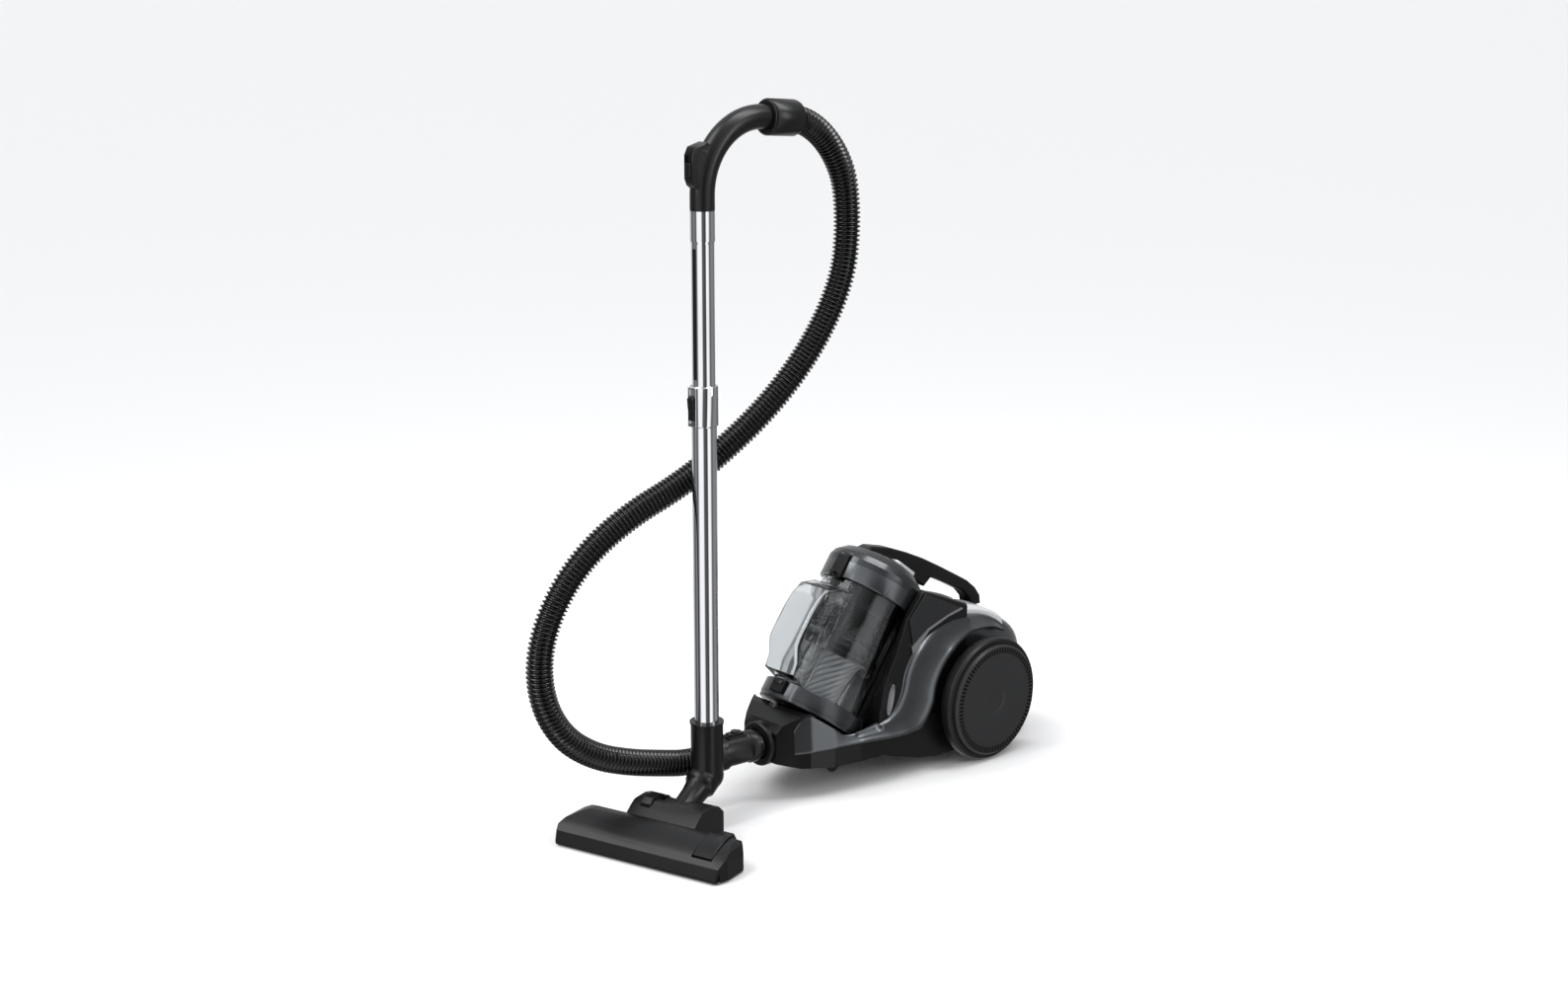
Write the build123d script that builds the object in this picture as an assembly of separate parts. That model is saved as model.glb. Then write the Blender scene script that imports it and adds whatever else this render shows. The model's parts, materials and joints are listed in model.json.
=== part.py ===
from build123d import *
import math
import os

# Canister vacuum cleaner.  Millimetres, +Z up, the canister points along -Y,
# the floor is z = 0.  Everything is drawn round the canister's mid-plane x = 0
# and moved once, at export, so that the machine stands centred on the origin.

# ---- driving sizes ---------------------------------------------------------
FIT = 0.3            # gap between neighbouring parts that may move
RUN = 0.05           # radial clearance of a pin in its bore
SEAT = 0.05          # gap between fixed parts seated against each other
WALL = 2.6           # moulded wall

# canister body
BODY_HALF = 100.0    # half width of the body between the wheels
AXLE_Y = 11.0
WHEEL_R = 104.0
AXLE_Z = WHEEL_R
AXLE_R = 8.0
TYRE_T = 10.0        # radial height of the tyre band
TYRE_W = 22.0
RIM_R = WHEEL_R - TYRE_T
WHEEL_IN = BODY_HALF + 5.0
WHEEL_OUT = BODY_HALF + 45.0
SLOTS = 84           # short grooves round the wheel face
SPLIT_Z = 94.0       # joint line of tub and upper shell
TUB_BACK = 183.0
COVER_FRONT = -12.0  # where the rear cover starts behind the shoulders

# caster under the nose
CASTER_Y = -240.0
CASTER_TRAIL = 10.0
CASTER_R = 16.0
CASTER_W = 14.0

# bin, drawn along its own leaning axis
BIN_TILT = 36.5
BIN_Y = -287.0
BIN_Z = 108.0
CUP_R = 76.0
CUP_WALL = 2.4
CUP_LOW = 10.0
CUP_TOP = 232.0
RING_R = 85.0
RING_H = 24.0
DOOR_T = 7.7
LID_R = 82.0
LID_H = 30.0
BAY_R = RING_R + 3.0
CYCLONE_GAP = 12.0   # from the cup's outside to the shroud
SHROUD_R = CUP_R - CYCLONE_GAP
GRIP_HALF = 36.0     # half width of the clear grip on the cup's front
GRIP_REACH = 50.0    # how far the grip stands out from the cup

# inlet and connector
INLET_Z = 88.0
INLET_Y = -372.0
INLET_R = 36.0
DUCT_R = 14.0
RISER_X = -12.0     # the inlet riser's place in the bin, across and rearward
RISER_INSET = 20.0
RISER_Y = RISER_INSET - CUP_R
CONNECT_TURN = 9.0   # the connector leans aside of straight ahead
CONNECT_DROP = 2.5
CONNECT_LEN = 66.0

# wand
WAND_X = 30.5
WAND_Y = -523.0
LOWER_R = 18.7
TUBE_WALL = 1.0
UPPER_R = LOWER_R - TUBE_WALL - 0.5
LOWER_TOP = 686.0
COLLAR_TOP = LOWER_TOP + 6.0
COLLAR_LOW = LOWER_TOP - 56.0
UPPER_LOW = 430.0
UPPER_TOP = 966.0
GRIP_LOW = 951.0
CUFF_TOP = 167.0
CUFF_R = 25.0

# handle
GRIP_R = 18.5
GRIP_BEND = 108.0
GRIP_TOP = 1089.0
GRIP_END = 123.0
GRIP_DROP = 4.6
CUFF_LEN = 60.0
HOSE_CUFF_R = 27.5

# hose
HOSE_R = 21.0
HOSE_WALL = 2.0

# floor head, drawn in its own turned frame: x across, y back, z up
HEAD_TURN = 16.0
HEAD_HALF = 152.0
HEAD_FRONT = 200.0
HEAD_REAR = 124.0
BLOCK_HALF = 62.0
BLOCK_REAR = 49.0
BLOCK_TOP = 66.0
SOLE_T = 1.2
PIVOT_F = 72.0
PIVOT_R = 19.0
NECK_R = 19.0
NECK_LEAN = 28.0
ELBOW_Z = 79.0

parts = {}

lean = math.radians(BIN_TILT)
U = Vector(0, math.sin(lean), math.cos(lean))
BIN = Plane(origin=(0, BIN_Y, BIN_Z), x_dir=(1, 0, 0), z_dir=(0, U.Y, U.Z))
turn = math.radians(HEAD_TURN)
HEAD = Plane(
    origin=(WAND_X, WAND_Y, 0),
    x_dir=(math.cos(turn), math.sin(turn), 0),
    z_dir=(0, 0, 1),
)


def side_prism(points, x_from, x_to):
    """A (y, z) outline pulled across the machine from x_from to x_to."""
    face = Plane.YZ * make_face(Polyline(*points, close=True))
    return Pos(x_from, 0, 0) * extrude(face, amount=x_to - x_from, dir=(1, 0, 0))


def plan_prism(points, z_from, z_to):
    """An (x, y) outline pulled up from z_from to z_to."""
    face = make_face(Polyline(*points, close=True))
    return Pos(0, 0, z_from) * extrude(face, amount=z_to - z_from, dir=(0, 0, 1))


def drum(radius, low, high, x=0, y=0):
    """An upright cylinder between two heights."""
    return Pos(x, y, (low + high) / 2) * Cylinder(radius, high - low)


def tube(outer, inner, low, high, x=0, y=0):
    """An upright tube between two heights."""
    return drum(outer, low, high, x, y) - drum(inner, low - 1, high + 1, x, y)


def across(radius, x_from, x_to, y=0, z=0):
    """A cylinder lying along X."""
    mid = (x_from + x_to) / 2
    return Pos(mid, y, z) * Rot(0, 90, 0) * Cylinder(radius, abs(x_to - x_from))


def along(radius, y_from, y_to, x=0, z=0):
    """A cylinder lying along Y."""
    mid = (y_from + y_to) / 2
    return Pos(x, mid, z) * Rot(90, 0, 0) * Cylinder(radius, abs(y_to - y_from))


def block(x0, x1, y0, y1, z0, z1):
    """A box from its limits."""
    centre = ((x0 + x1) / 2, (y0 + y1) / 2, (z0 + z1) / 2)
    return Pos(*centre) * Box(abs(x1 - x0), abs(y1 - y0), abs(z1 - z0))


def turned(outline):
    """A closed (radius, height) outline spun round Z."""
    face = Plane.XZ * make_face(Polyline(*outline, close=True))
    return revolve(face, axis=Axis.Z)


def mirrored(shape):
    """The same shape on the other side of x = 0."""
    return mirror(shape, about=Plane.YZ)


def soften(shape, edges, radius):
    """Round the given edges, trying smaller radii where the corner is tight."""
    for size in (radius, radius * 0.6, radius * 0.3):
        try:
            return fillet(edges, size)
        except Exception:
            continue
    return shape


# ---- canister: tub ---------------------------------------------------------
def plan_outline(grow):
    """Half-width of the body along its length, grown outwards by grow."""
    right = [
        (38, -386), (52, -364), (68, -338), (83, -300), (92, -250), (97, -200),
        (BODY_HALF, -130), (BODY_HALF, 60), (96, 110), (84, 148), (62, 172), (30, TUB_BACK),
    ]
    grown = [(x + grow, y + (grow if y > 100 else 0)) for x, y in right]
    return grown + [(-x, y) for x, y in reversed(grown)]


tub_side = [
    (-386, 62), (-352, 52), (-300, 48), (-205, 48), (-130, 26), (-80, 18), (140, 18),
    (168, 34), (TUB_BACK + 5, 64), (TUB_BACK + 5, SPLIT_Z), (-273, SPLIT_Z), (-338, 142),
    (-352, 138), (-376, 126), (-386, 112),
]
tub_room = [
    (-360, 62), (-345, 56), (-300, 51), (-206, 51), (-130, 29), (-80, 21), (138, 21),
    (164, 36), (TUB_BACK, 66), (TUB_BACK, SPLIT_Z + 5), (-200, SPLIT_Z + 5), (-278, SPLIT_Z - 6),
    (-338, 137), (-352, 133), (-360, 120),
]
bay = BIN * drum(BAY_R, -5.0, 400)
bay_cup = BIN * drum(BAY_R + WALL, -5.0 - WALL, 400)

tub = side_prism(tub_side, -110, 110) & plan_prism(plan_outline(0), 0, 170)
tub -= side_prism(tub_room, -110, 110) & plan_prism(plan_outline(-WALL), 0, 170)
seat = bay_cup & side_prism(tub_side, -110, 110) & plan_prism(plan_outline(0), 0, 170)
tub = tub + seat - bay
caster_boss = drum(13, 47, 64, y=CASTER_Y) - bay
tub = tub + caster_boss - drum(6 + RUN, 30, 62, y=CASTER_Y)
inlet_hole = along(INLET_R - 2, -400, -340, z=INLET_Z)
tub -= inlet_hole
under_vents = [block(-92, -70, y, y + 3, 10, 30) for y in range(60, 130, 9)]
for vent in under_vents:
    tub -= vent
    tub -= mirrored(vent)
parts["chassis_tub"] = tub

# ---- canister: upper shell with the shoulders beside the bin ----------------
def cover_section(y, half, top, base):
    """One upright cross-section of the rear cover."""
    rise = top - base
    side = [(1.0, 0.0), (0.995, 0.4), (0.97, 0.72), (0.84, 0.93), (0.5, 0.99)]
    right = [(half * a, base + rise * b) for a, b in side]
    crown = right + [(0, top)] + [(-x, z) for x, z in reversed(right)]
    face = make_face(Spline(*crown) + Line(crown[-1], crown[0]))
    return Plane(origin=(0, y, 0), x_dir=(1, 0, 0), z_dir=(0, -1, 0)) * face


def cover_solid(grow):
    """The rear cover's outer form, grown or shrunk on every side but the front."""
    stations = [(COVER_FRONT, 98, 256), (30, 98, 247), (75, 94, 230), (115, 83, 208), (145, 69, 186),
                (170, 50, 154), (186, 30, 122)]
    faces = [cover_section(y + grow * (y > 160), half + grow, top + grow, SPLIT_Z + SEAT - 1)
             for y, half, top in stations]
    return loft(Sketch() + faces)


dome = cover_solid(0)
dome_skin = dome - cover_solid(-WALL) - block(-120, 120, -40, COVER_FRONT + 2.6, 0, SPLIT_Z + SEAT)
dome_skin &= block(-120, 120, -40, 200, SPLIT_Z + SEAT, 300)

shoulder_side = [
    (-214, SPLIT_Z + SEAT), (-214, 118), (-204, 164), (-176, 215), (-153, 268), (-116, 308),
    (-70, 290), (COVER_FRONT - SEAT, 266), (COVER_FRONT - SEAT, SPLIT_Z + SEAT),
]
shoulder_room = [
    (-210, SPLIT_Z - 5), (-210, 118), (-200, 163), (-172, 214), (-150, 266), (-116, 304),
    (-70, 286), (-25, 268), (5, 256), (5, SPLIT_Z - 5),
]
shoulders = side_prism(shoulder_side, -97, 97)
shoulders = soften(shoulders, shoulders.edges().filter_by(Plane.YZ).group_by(Axis.Z)[-1], 6)
shoulders -= side_prism(shoulder_room, -97 + WALL, 97 - WALL)
bay_wall = (BIN * drum(BAY_R + WALL, -2, 400)) & side_prism(shoulder_side, -97 + WALL, 97 - WALL)
shell = shoulders + bay_wall - bay
shell -= block(-120, 120, COVER_FRONT - SEAT, 10, 0, 400)
parts["shoulder_shell"] = shell

dome_skin -= BIN * drum(BAY_R + WALL + SEAT, -5, 400)
PEDAL_IN = 30.0
PEDAL_OUT = 82.0
window_side = [(-4, 180), (-4, 290), (74, 290), (100, 180)]
pedal_window = side_prism(window_side, PEDAL_IN, PEDAL_OUT)
dome_skin -= pedal_window
dome_skin -= mirrored(pedal_window)
grille_hole = block(-30, 30, 150, 200, 110, 140)
dome_skin -= grille_hole
parts["rear_cover"] = dome_skin

# ---- canister: silver fender, dark side panel and bright trims --------------
fender_side = [
    (-290, 80), (-290, 99), (-259, 99), (-206, 106), (-180, 122), (-166, 145),
    (-158, 180), (-138, 211), (-100, 232), (-56, 244), (-20, 244), (30, 238), (62, 224),
    (78, 194), (60, 200), (0, 198), (-40, 196), (-66, 182), (-90, 150), (-101, 109), (-128, 80),
    (-173, 75), (-240, 80),
]
fender_nose = [(-362, 76), (-362, 116), (-352, 132), (-338, 138), (-283, 99), (-262, 99), (-262, 80)]
fender_front = [(60, 60), (113, 60), (113, 200), (110, 214), (104, 230), (98.5, 242), (90, 250), (60, 256)]
fender_plan = [(x + math.copysign(3 + 9 * min(1, max(0, (y + 300) / 130)), x), y) for x, y in plan_outline(0)]
arch = across(WHEEL_R + 9, 60, 150, AXLE_Y, AXLE_Z)
fender = side_prism(fender_side, 60, 113) + side_prism(fender_nose, 40, 113)
fender &= plan_prism(fender_plan, 0, 300)
fender &= Pos(0, 300, 0) * extrude(Plane.XZ * make_face(Polyline(*fender_front, close=True)), amount=800)
fender -= plan_prism(plan_outline(SEAT), 0, SPLIT_Z + SEAT)
fender -= block(0, 97 + SEAT, -214, COVER_FRONT + 1, 0, 320)
fender -= block(0, BODY_HALF + SEAT, COVER_FRONT, 200, 0, 180)
fender -= plan_prism(plan_outline(SEAT), 0, 160) & block(0, 120, -400, -262, 0, 160)
fender -= block(0, 83, -262, -214, 0, 320)
fender -= BIN * drum(BAY_R, -5, 400)
fender -= cover_solid(SEAT)
fender -= pedal_window
fender -= arch
fender = soften(fender, fender.edges().filter_by(Plane.YZ).group_by(Axis.X)[-1], 3)
parts["fender_left"] = fender
parts["fender_right"] = mirrored(fender)

panel_side = [(-114, 303), (-28, 262), (-60, 255), (-106, 241), (-140, 214), (-150, 266)]
trim_side = [
    (-143, 208), (-146, 220), (-143, 222), (-108, 244), (-61, 258), (-30, 264), (-26, 260), (-60, 254),
    (-106, 239), (-139, 206)]
panel = side_prism(panel_side, 97 + SEAT, 99.5) - side_prism(trim_side, 90, 110)
parts["side_panel_left"] = panel
parts["side_panel_right"] = mirrored(panel)

trim_line = side_prism(trim_side, 97 + SEAT, 100.2) - fender
oval = extrude(Ellipse(26, 7), 4) - Pos(0, 0, 2) * extrude(Ellipse(23, 4.5), 4)
oval = Pos(97 + SEAT, -193, 141) * Rot(-12, 0, 0) * Rot(0, 90, 0) * oval
side_trim = trim_line + (oval - fender)
parts["side_trim_left"] = side_trim
parts["side_trim_right"] = mirrored(side_trim)

# ---- rear wheels -----------------------------------------------------------
flange = across(26, BODY_HALF + SEAT, BODY_HALF + 4, AXLE_Y, AXLE_Z)
axle = flange + across(AXLE_R, BODY_HALF + 4, WHEEL_OUT - 7, AXLE_Y, AXLE_Z)
rim_outline = [
    (AXLE_R + RUN, WHEEL_IN), (20, WHEEL_IN), (20, WHEEL_OUT - 10), (RIM_R - 8, WHEEL_OUT - 10),
    (RIM_R - 8, WHEEL_IN + 3), (RIM_R, WHEEL_IN + 3), (RIM_R, WHEEL_OUT - 4),
    (RIM_R - 3, WHEEL_OUT), (22, WHEEL_OUT), (18, WHEEL_OUT - 1.5), (0, WHEEL_OUT - 1.5),
    (0, WHEEL_OUT - 6.5), (AXLE_R + RUN, WHEEL_OUT - 6.5),
]
rim = turned(rim_outline)
rim -= Pos(0, 0, WHEEL_OUT - 0.75) * (Cylinder(RIM_R + 0.2, 1.6) - Cylinder(RIM_R - 1.4, 1.6))
groove = Pos(RIM_R - 9, 0, WHEEL_OUT) * Box(9, 2.2, 5)
for index in range(SLOTS):
    rim -= Rot(0, 0, index * 360 / SLOTS) * groove
rim = Pos(0, AXLE_Y, AXLE_Z) * Rot(0, 90, 0) * rim
tyre_low = WHEEL_IN + 10
tyre_outline = [
    (RIM_R + SEAT, tyre_low), (WHEEL_R - 3, tyre_low), (WHEEL_R, tyre_low + 4),
    (WHEEL_R, tyre_low + TYRE_W - 4), (WHEEL_R - 3, tyre_low + TYRE_W),
    (RIM_R + SEAT, tyre_low + TYRE_W),
]
tyre = Pos(0, AXLE_Y, AXLE_Z) * Rot(0, 90, 0) * turned(tyre_outline)
parts["stub_axles"] = axle + mirrored(axle)
parts["rim_left"] = rim
parts["rim_right"] = mirrored(rim)
parts["tyre_left"] = tyre
parts["tyre_right"] = mirrored(tyre)

# ---- caster ----------------------------------------------------------------
caster_wheel_y = CASTER_Y + CASTER_TRAIL
fork = drum(6, 46, 61, y=CASTER_Y) + drum(15, 43, 47 - FIT, y=CASTER_Y)
cheek = side_prism(
    [(CASTER_Y - 12, 44), (CASTER_Y + 14, 44), (caster_wheel_y + 7, 12), (caster_wheel_y - 7, 12)],
    CASTER_W / 2 + FIT, CASTER_W / 2 + 4)
fork = fork + cheek + mirrored(cheek)
fork -= across(CASTER_R + 2, -CASTER_W / 2 - FIT, CASTER_W / 2 + FIT, caster_wheel_y, CASTER_R)
fork -= across(3, -20, 20, caster_wheel_y, CASTER_R)
pin = across(3, -CASTER_W / 2 - 4, CASTER_W / 2 + 4, caster_wheel_y, CASTER_R)
fork = fork + pin
caster = across(CASTER_R, -CASTER_W / 2, CASTER_W / 2, caster_wheel_y, CASTER_R)
caster = soften(caster, caster.edges(), 2.5)
caster -= across(3 + RUN, -20, 20, caster_wheel_y, CASTER_R)
parts["caster_fork"] = fork
parts["caster_wheel"] = caster

# ---- works inside the body --------------------------------------------------
MOTOR_Y = -30.0
MOTOR_Z = 110.0
fan_case = along(54, MOTOR_Y - 45, MOTOR_Y - 12, z=MOTOR_Z) - along(20, MOTOR_Y - 50, MOTOR_Y - 20, z=MOTOR_Z)
parts["fan_case"] = fan_case
motor = along(42, MOTOR_Y - 12 + SEAT, MOTOR_Y + 45, z=MOTOR_Z)
motor = motor + along(14, MOTOR_Y + 45, MOTOR_Y + 58, z=MOTOR_Z)
for index in range(8):
    fin = Pos(0, 0, 42) * Box(4, 40, 3)
    motor -= Pos(0, MOTOR_Y + 18, MOTOR_Z) * Rot(0, index * 45, 0) * fin
parts["motor"] = motor
cradle = block(-40, 40, MOTOR_Y - 35, MOTOR_Y + 30, 20, 90)
cradle -= along(54 + SEAT, MOTOR_Y - 60, MOTOR_Y - 12 + SEAT, z=MOTOR_Z)
cradle -= along(42 + SEAT, MOTOR_Y - 12, MOTOR_Y + 60, z=MOTOR_Z)
cradle -= block(-34, 34, MOTOR_Y - 40, MOTOR_Y + 40, 24, 62)
parts["chassis_tub"] += cradle
drum_y = 96.0
reel = along(52, drum_y - 16, drum_y - 13, z=88) + along(52, drum_y + 21, drum_y + 24, z=88)
reel = reel + along(20, drum_y - 16, drum_y + 24, z=88) - along(5 + RUN, 0, 200, z=88)
parts["cord_reel"] = reel
reel_post = along(5, drum_y - 20, drum_y + 28, z=88) + block(-12, 12, drum_y + 24 + FIT, drum_y + 28, 20, 100)
parts["chassis_tub"] += reel_post
hepa = block(-34, 34, drum_y + 28.5, 146, 90, 150)
parts["exhaust_filter"] = hepa
grille = block(-30 + SEAT, 30 - SEAT, 146 + SEAT, 200, 110 + SEAT, 140 - SEAT) & (dome - cover_solid(-WALL))
for index in range(6):
    grille -= block(-26 + index * 9, -21 + index * 9, 140, 200, 114, 136)
parts["exhaust_grille"] = grille
parts["chassis_tub"] -= along(9 + SEAT, 160, 200, z=58)
gland = along(9, 166, TUB_BACK + 5, x=0, z=58) - along(4.5, 160, 200, x=0, z=58)
parts["cord_gland"] = gland

# ---- foot pedals on the rear cover ------------------------------------------
pedal_side = [(-3, 190), (-3, 290), (73, 290), (96, 190)]
pedal = side_prism(pedal_side, PEDAL_IN + 0.7, PEDAL_OUT - 0.7) & (cover_solid(4) - cover_solid(-5))
parts["pedal_power"] = pedal
parts["pedal_rewind"] = mirrored(pedal)

# ---- bin --------------------------------------------------------------------
def bin_box(x0, x1, r0, r1, s0, s1):
    """A box in the bin's own frame: x across, r rearward, s up the axis."""
    return block(x0, x1, r0, r1, s0, s1)


door = drum(RING_R - 1, 0.3, DOOR_T)
door = soften(door, door.edges().group_by(Axis.Z)[0], 2)
door -= drum(DUCT_R, -1, 10, RISER_X, RISER_Y)
hinge_gap = bin_box(-22.6, 22.6, 76, 100, -5, 20)
door_eye = bin_box(-16 + FIT, 16 - FIT, 74, 82, 1, 7) + across(3.2, -16 + FIT, 16 - FIT, 83, 4)
door = (door - hinge_gap) + door_eye - across(2 + RUN, -40, 40, 83, 4)
parts["bin_door"] = BIN * door

ring = tube(RING_R, CUP_R + SEAT, DOOR_T + FIT, DOOR_T + FIT + RING_H)
ring = soften(ring, ring.edges().group_by(Axis.Z)[-1], 2)
hinge_lug = bin_box(-22, -16, 77, 87, 0.3, 14) + bin_box(16, 22, 77, 87, 0.3, 14)
hinge_lug &= drum(RING_R + 2.4, 0, 20)
ring = ring + (hinge_lug - drum(CUP_R + SEAT, -1, 50) - drum(RING_R - 0.7, -1, DOOR_T + FIT))
latch_seat = bin_box(-15, 15, -RING_R - 10, -RING_R + 2.5, 6, 34)
ring = ring - latch_seat + across(2, -22, 22, 83, 4)
parts["bin_ring"] = BIN * ring

grip_outline = [
    (-60, 30), (-104, 38), (-108, 58), (-CUP_R - GRIP_REACH + 2, 82), (-CUP_R - GRIP_REACH, 96),
    (-CUP_R - GRIP_REACH, 140), (-CUP_R - GRIP_REACH + 3, 164), (-115, 187), (-92, 202), (-60, 208),
]


def grip_prism(inset):
    """The clear grip on the cup's front, shrunk inwards by inset."""
    face = Plane.YZ * offset(make_face(Polyline(*grip_outline, close=True)), -inset, kind=Kind.INTERSECTION)
    half = GRIP_HALF - inset
    solid = Pos(-half, 0, 0) * extrude(face, amount=2 * half, dir=(1, 0, 0))
    edges = solid.edges().filter_by(Plane.YZ) if inset == 0 else ShapeList()
    return soften(solid, edges, 9) if edges else solid


grip = grip_prism(0)
grip -= bin_box(-60, 60, -300, 0, 0, DOOR_T + 2 * FIT + RING_H)
grip_room = grip_prism(CUP_WALL) - drum(CUP_R - 0.5, 0, 300)
grip_room &= bin_box(-60, 60, -300, 0, DOOR_T + RING_H + 3, 300)
cup = drum(CUP_R, CUP_LOW, CUP_TOP) + grip - drum(CUP_R - CUP_WALL, 0, 300) - grip_room
parts["bin_cup"] = BIN * cup

latch_low = bin_box(-13, 13, -RING_R - 6, -RING_R + 2.2, DOOR_T + 2 * FIT, 30)
latch_low = soften(latch_low, latch_low.edges().filter_by(Axis.X), 2)
latch_low = latch_low + bin_box(-9, 9, -RING_R - 9, -RING_R - 4, 22, 28)
parts["door_latch"] = BIN * latch_low

lid_ring = tube(LID_R, CUP_R + SEAT, CUP_TOP - 10, CUP_TOP + LID_H - 12)
lid_ring = soften(lid_ring, lid_ring.edges().group_by(Axis.Z)[0], 1.5)
lid_ring -= bin_box(-14, 14, -LID_R - 10, -LID_R + 3, 190, CUP_TOP + 40)
parts["lid_ring"] = BIN * lid_ring
lid_base = CUP_TOP + LID_H - 12 + SEAT
lid_outline = [
    (0, lid_base), (LID_R, lid_base), (LID_R, lid_base + 10), (LID_R - 4, lid_base + 20),
    (LID_R - 18, lid_base + 32), (LID_R - 40, lid_base + 39), (0, lid_base + 42),
]
lid = turned(lid_outline)
lid -= turned([(0, lid_base - 1), (LID_R - 4, lid_base - 1), (LID_R - 4, lid_base + 10),
               (LID_R - 9, lid_base + 18), (LID_R - 22, lid_base + 28), (0, lid_base + 38)])
lid -= bin_box(-14, 14, -LID_R - 10, -LID_R + 3, 190, lid_base + 12)
parts["lid"] = BIN * lid
latch_top = bin_box(-12, 12, -LID_R - 4, -LID_R + 2.5, CUP_TOP - 14, lid_base + 9)
latch_top = soften(latch_top, latch_top.edges().filter_by(Axis.X), 2)
latch_top = latch_top + bin_box(-5, 5, -LID_R - 14, -LID_R - 3, CUP_TOP - 9, CUP_TOP - 6)
parts["lid_latch"] = BIN * latch_top

shroud = tube(SHROUD_R, SHROUD_R - 2.5, 132, lid_base - FIT)
shroud = shroud + tube(CUP_R - CUP_WALL - FIT, SHROUD_R - 2.5, lid_base - 9, lid_base - FIT)
parts["shroud"] = BIN * shroud
skirt = turned([(SHROUD_R - 2.5, 108), (SHROUD_R + 6, 104), (SHROUD_R + 6, 108), (SHROUD_R + 1, 112),
                (SHROUD_R + 1, 118), (SHROUD_R + 5, 120), (SHROUD_R + 5, 123), (SHROUD_R + 1, 125),
                (SHROUD_R + 1, 132 - SEAT), (SHROUD_R - 2.5, 132 - SEAT)])
port = drum(DUCT_R + 4, 104, 124, RISER_X, RISER_Y) - drum(DUCT_R - 2, 100, 130, RISER_X, RISER_Y)
port -= drum(SHROUD_R - 2.5, 100, 140)
skirt = skirt + (port & drum(CUP_R - CUP_WALL - 1, 90, 130))
skirt -= drum(DUCT_R - 2, 100, 116, RISER_X, RISER_Y)
parts["shroud_skirt"] = BIN * skirt
flare = SHROUD_R - 5
cone = turned([(0, DOOR_T + FIT), (34, DOOR_T + FIT), (34, 60), (40, 100), (flare, 126), (flare, 131),
               (flare - 3, 131), (37, 100), (31, 60), (31, 33), (0, 33)])
for index in range(12):
    rib = Pos(0, 0, 62) * Rot(0, 0, index * 30) * Pos(34.5, 0, 0) * Rot(0, 4, 0) * Rot(35, 0, 0) * Box(3, 1.6, 62)
    cone = cone + (rib & drum(52, 34, 98))
cone -= drum(DUCT_R + 1, 0, 120, RISER_X, RISER_Y)
parts["cone"] = BIN * cone
riser = tube(DUCT_R, DUCT_R - 2, DOOR_T + FIT, 104 - SEAT, RISER_X, RISER_Y)
parts["inlet_riser"] = BIN * riser

# ---- carry handle -----------------------------------------------------------
HANDLE_HALF = 14.0
handle_side = [
    (-186, 366), (-150, 372), (-112, 363), (-70, 347), (-30, 329), (10, 308), (48, 287), (78, 270),
    (98, 254), (110, 238), (112, 222), (86, 222), (82, 238), (66, 254), (36, 270), (0, 288),
    (-12, 292), (-28, 280), (-50, 293), (-72, 306), (-110, 322), (-150, 340),
]
handle = side_prism(handle_side, -HANDLE_HALF, HANDLE_HALF)
handle = soften(handle, handle.edges().filter_by(Plane.YZ), 5)
lid_solid = BIN * turned(lid_outline)
handle -= BIN * drum(LID_R + SEAT, 0, lid_base + 5)
handle -= lid_solid
handle -= cover_solid(0.4)
button_space = BIN * bin_box(-28 - FIT, 28 + FIT, 6 - FIT, 60 + FIT, 284, 298)
handle -= button_space
parts["carry_handle"] = handle
parts["lid"] -= button_space & BIN * drum(70, 280, 300)
button = bin_box(-28, 28, 6, 60, 287.5, 297.5)
button = soften(button, button.edges().filter_by(Axis.Z), 9)
button = soften(button, button.edges().group_by(Axis.Z)[-1], 2)
parts["handle_button"] = BIN * button

# ---- inlet, duct and hose connector ------------------------------------------
inlet_room = along(INLET_R + SEAT, -420, INLET_Y + 12 + SEAT, z=INLET_Z)
tub = parts["chassis_tub"] - (inlet_room & block(-60, 60, -420, -300, 50, 170))
tub -= BIN * drum(DUCT_R + SEAT, -20, 5, RISER_X, RISER_Y)
parts["chassis_tub"] = tub
inlet_collar = along(INLET_R, INLET_Y - 22, INLET_Y + 12, z=INLET_Z)
inlet_collar = soften(inlet_collar, inlet_collar.edges().group_by(Axis.Y)[0], 4)
inlet_collar -= along(25, INLET_Y - 30, INLET_Y + 20, z=INLET_Z)
parts["inlet_collar"] = inlet_collar - bay

port_place = (BIN.location * Pos(RISER_X, RISER_Y, -8)).position
duct_corner = port_place - U * 50
duct_start = Vector(-9, INLET_Y - 7, INLET_Z)
duct_path = FilletPolyline(tuple(duct_start), tuple(duct_corner), tuple(port_place), radius=16)
duct_face = Plane(origin=duct_path @ 0, z_dir=duct_path % 0) * (Circle(DUCT_R) - Circle(DUCT_R - 2))
parts["inlet_duct"] = sweep(duct_face, path=duct_path)
duct_space = sweep(Plane(origin=duct_path @ 0, z_dir=duct_path % 0) * Circle(DUCT_R + SEAT), path=duct_path)
parts["chassis_tub"] -= duct_space
parts["inlet_collar"] -= duct_space

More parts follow.
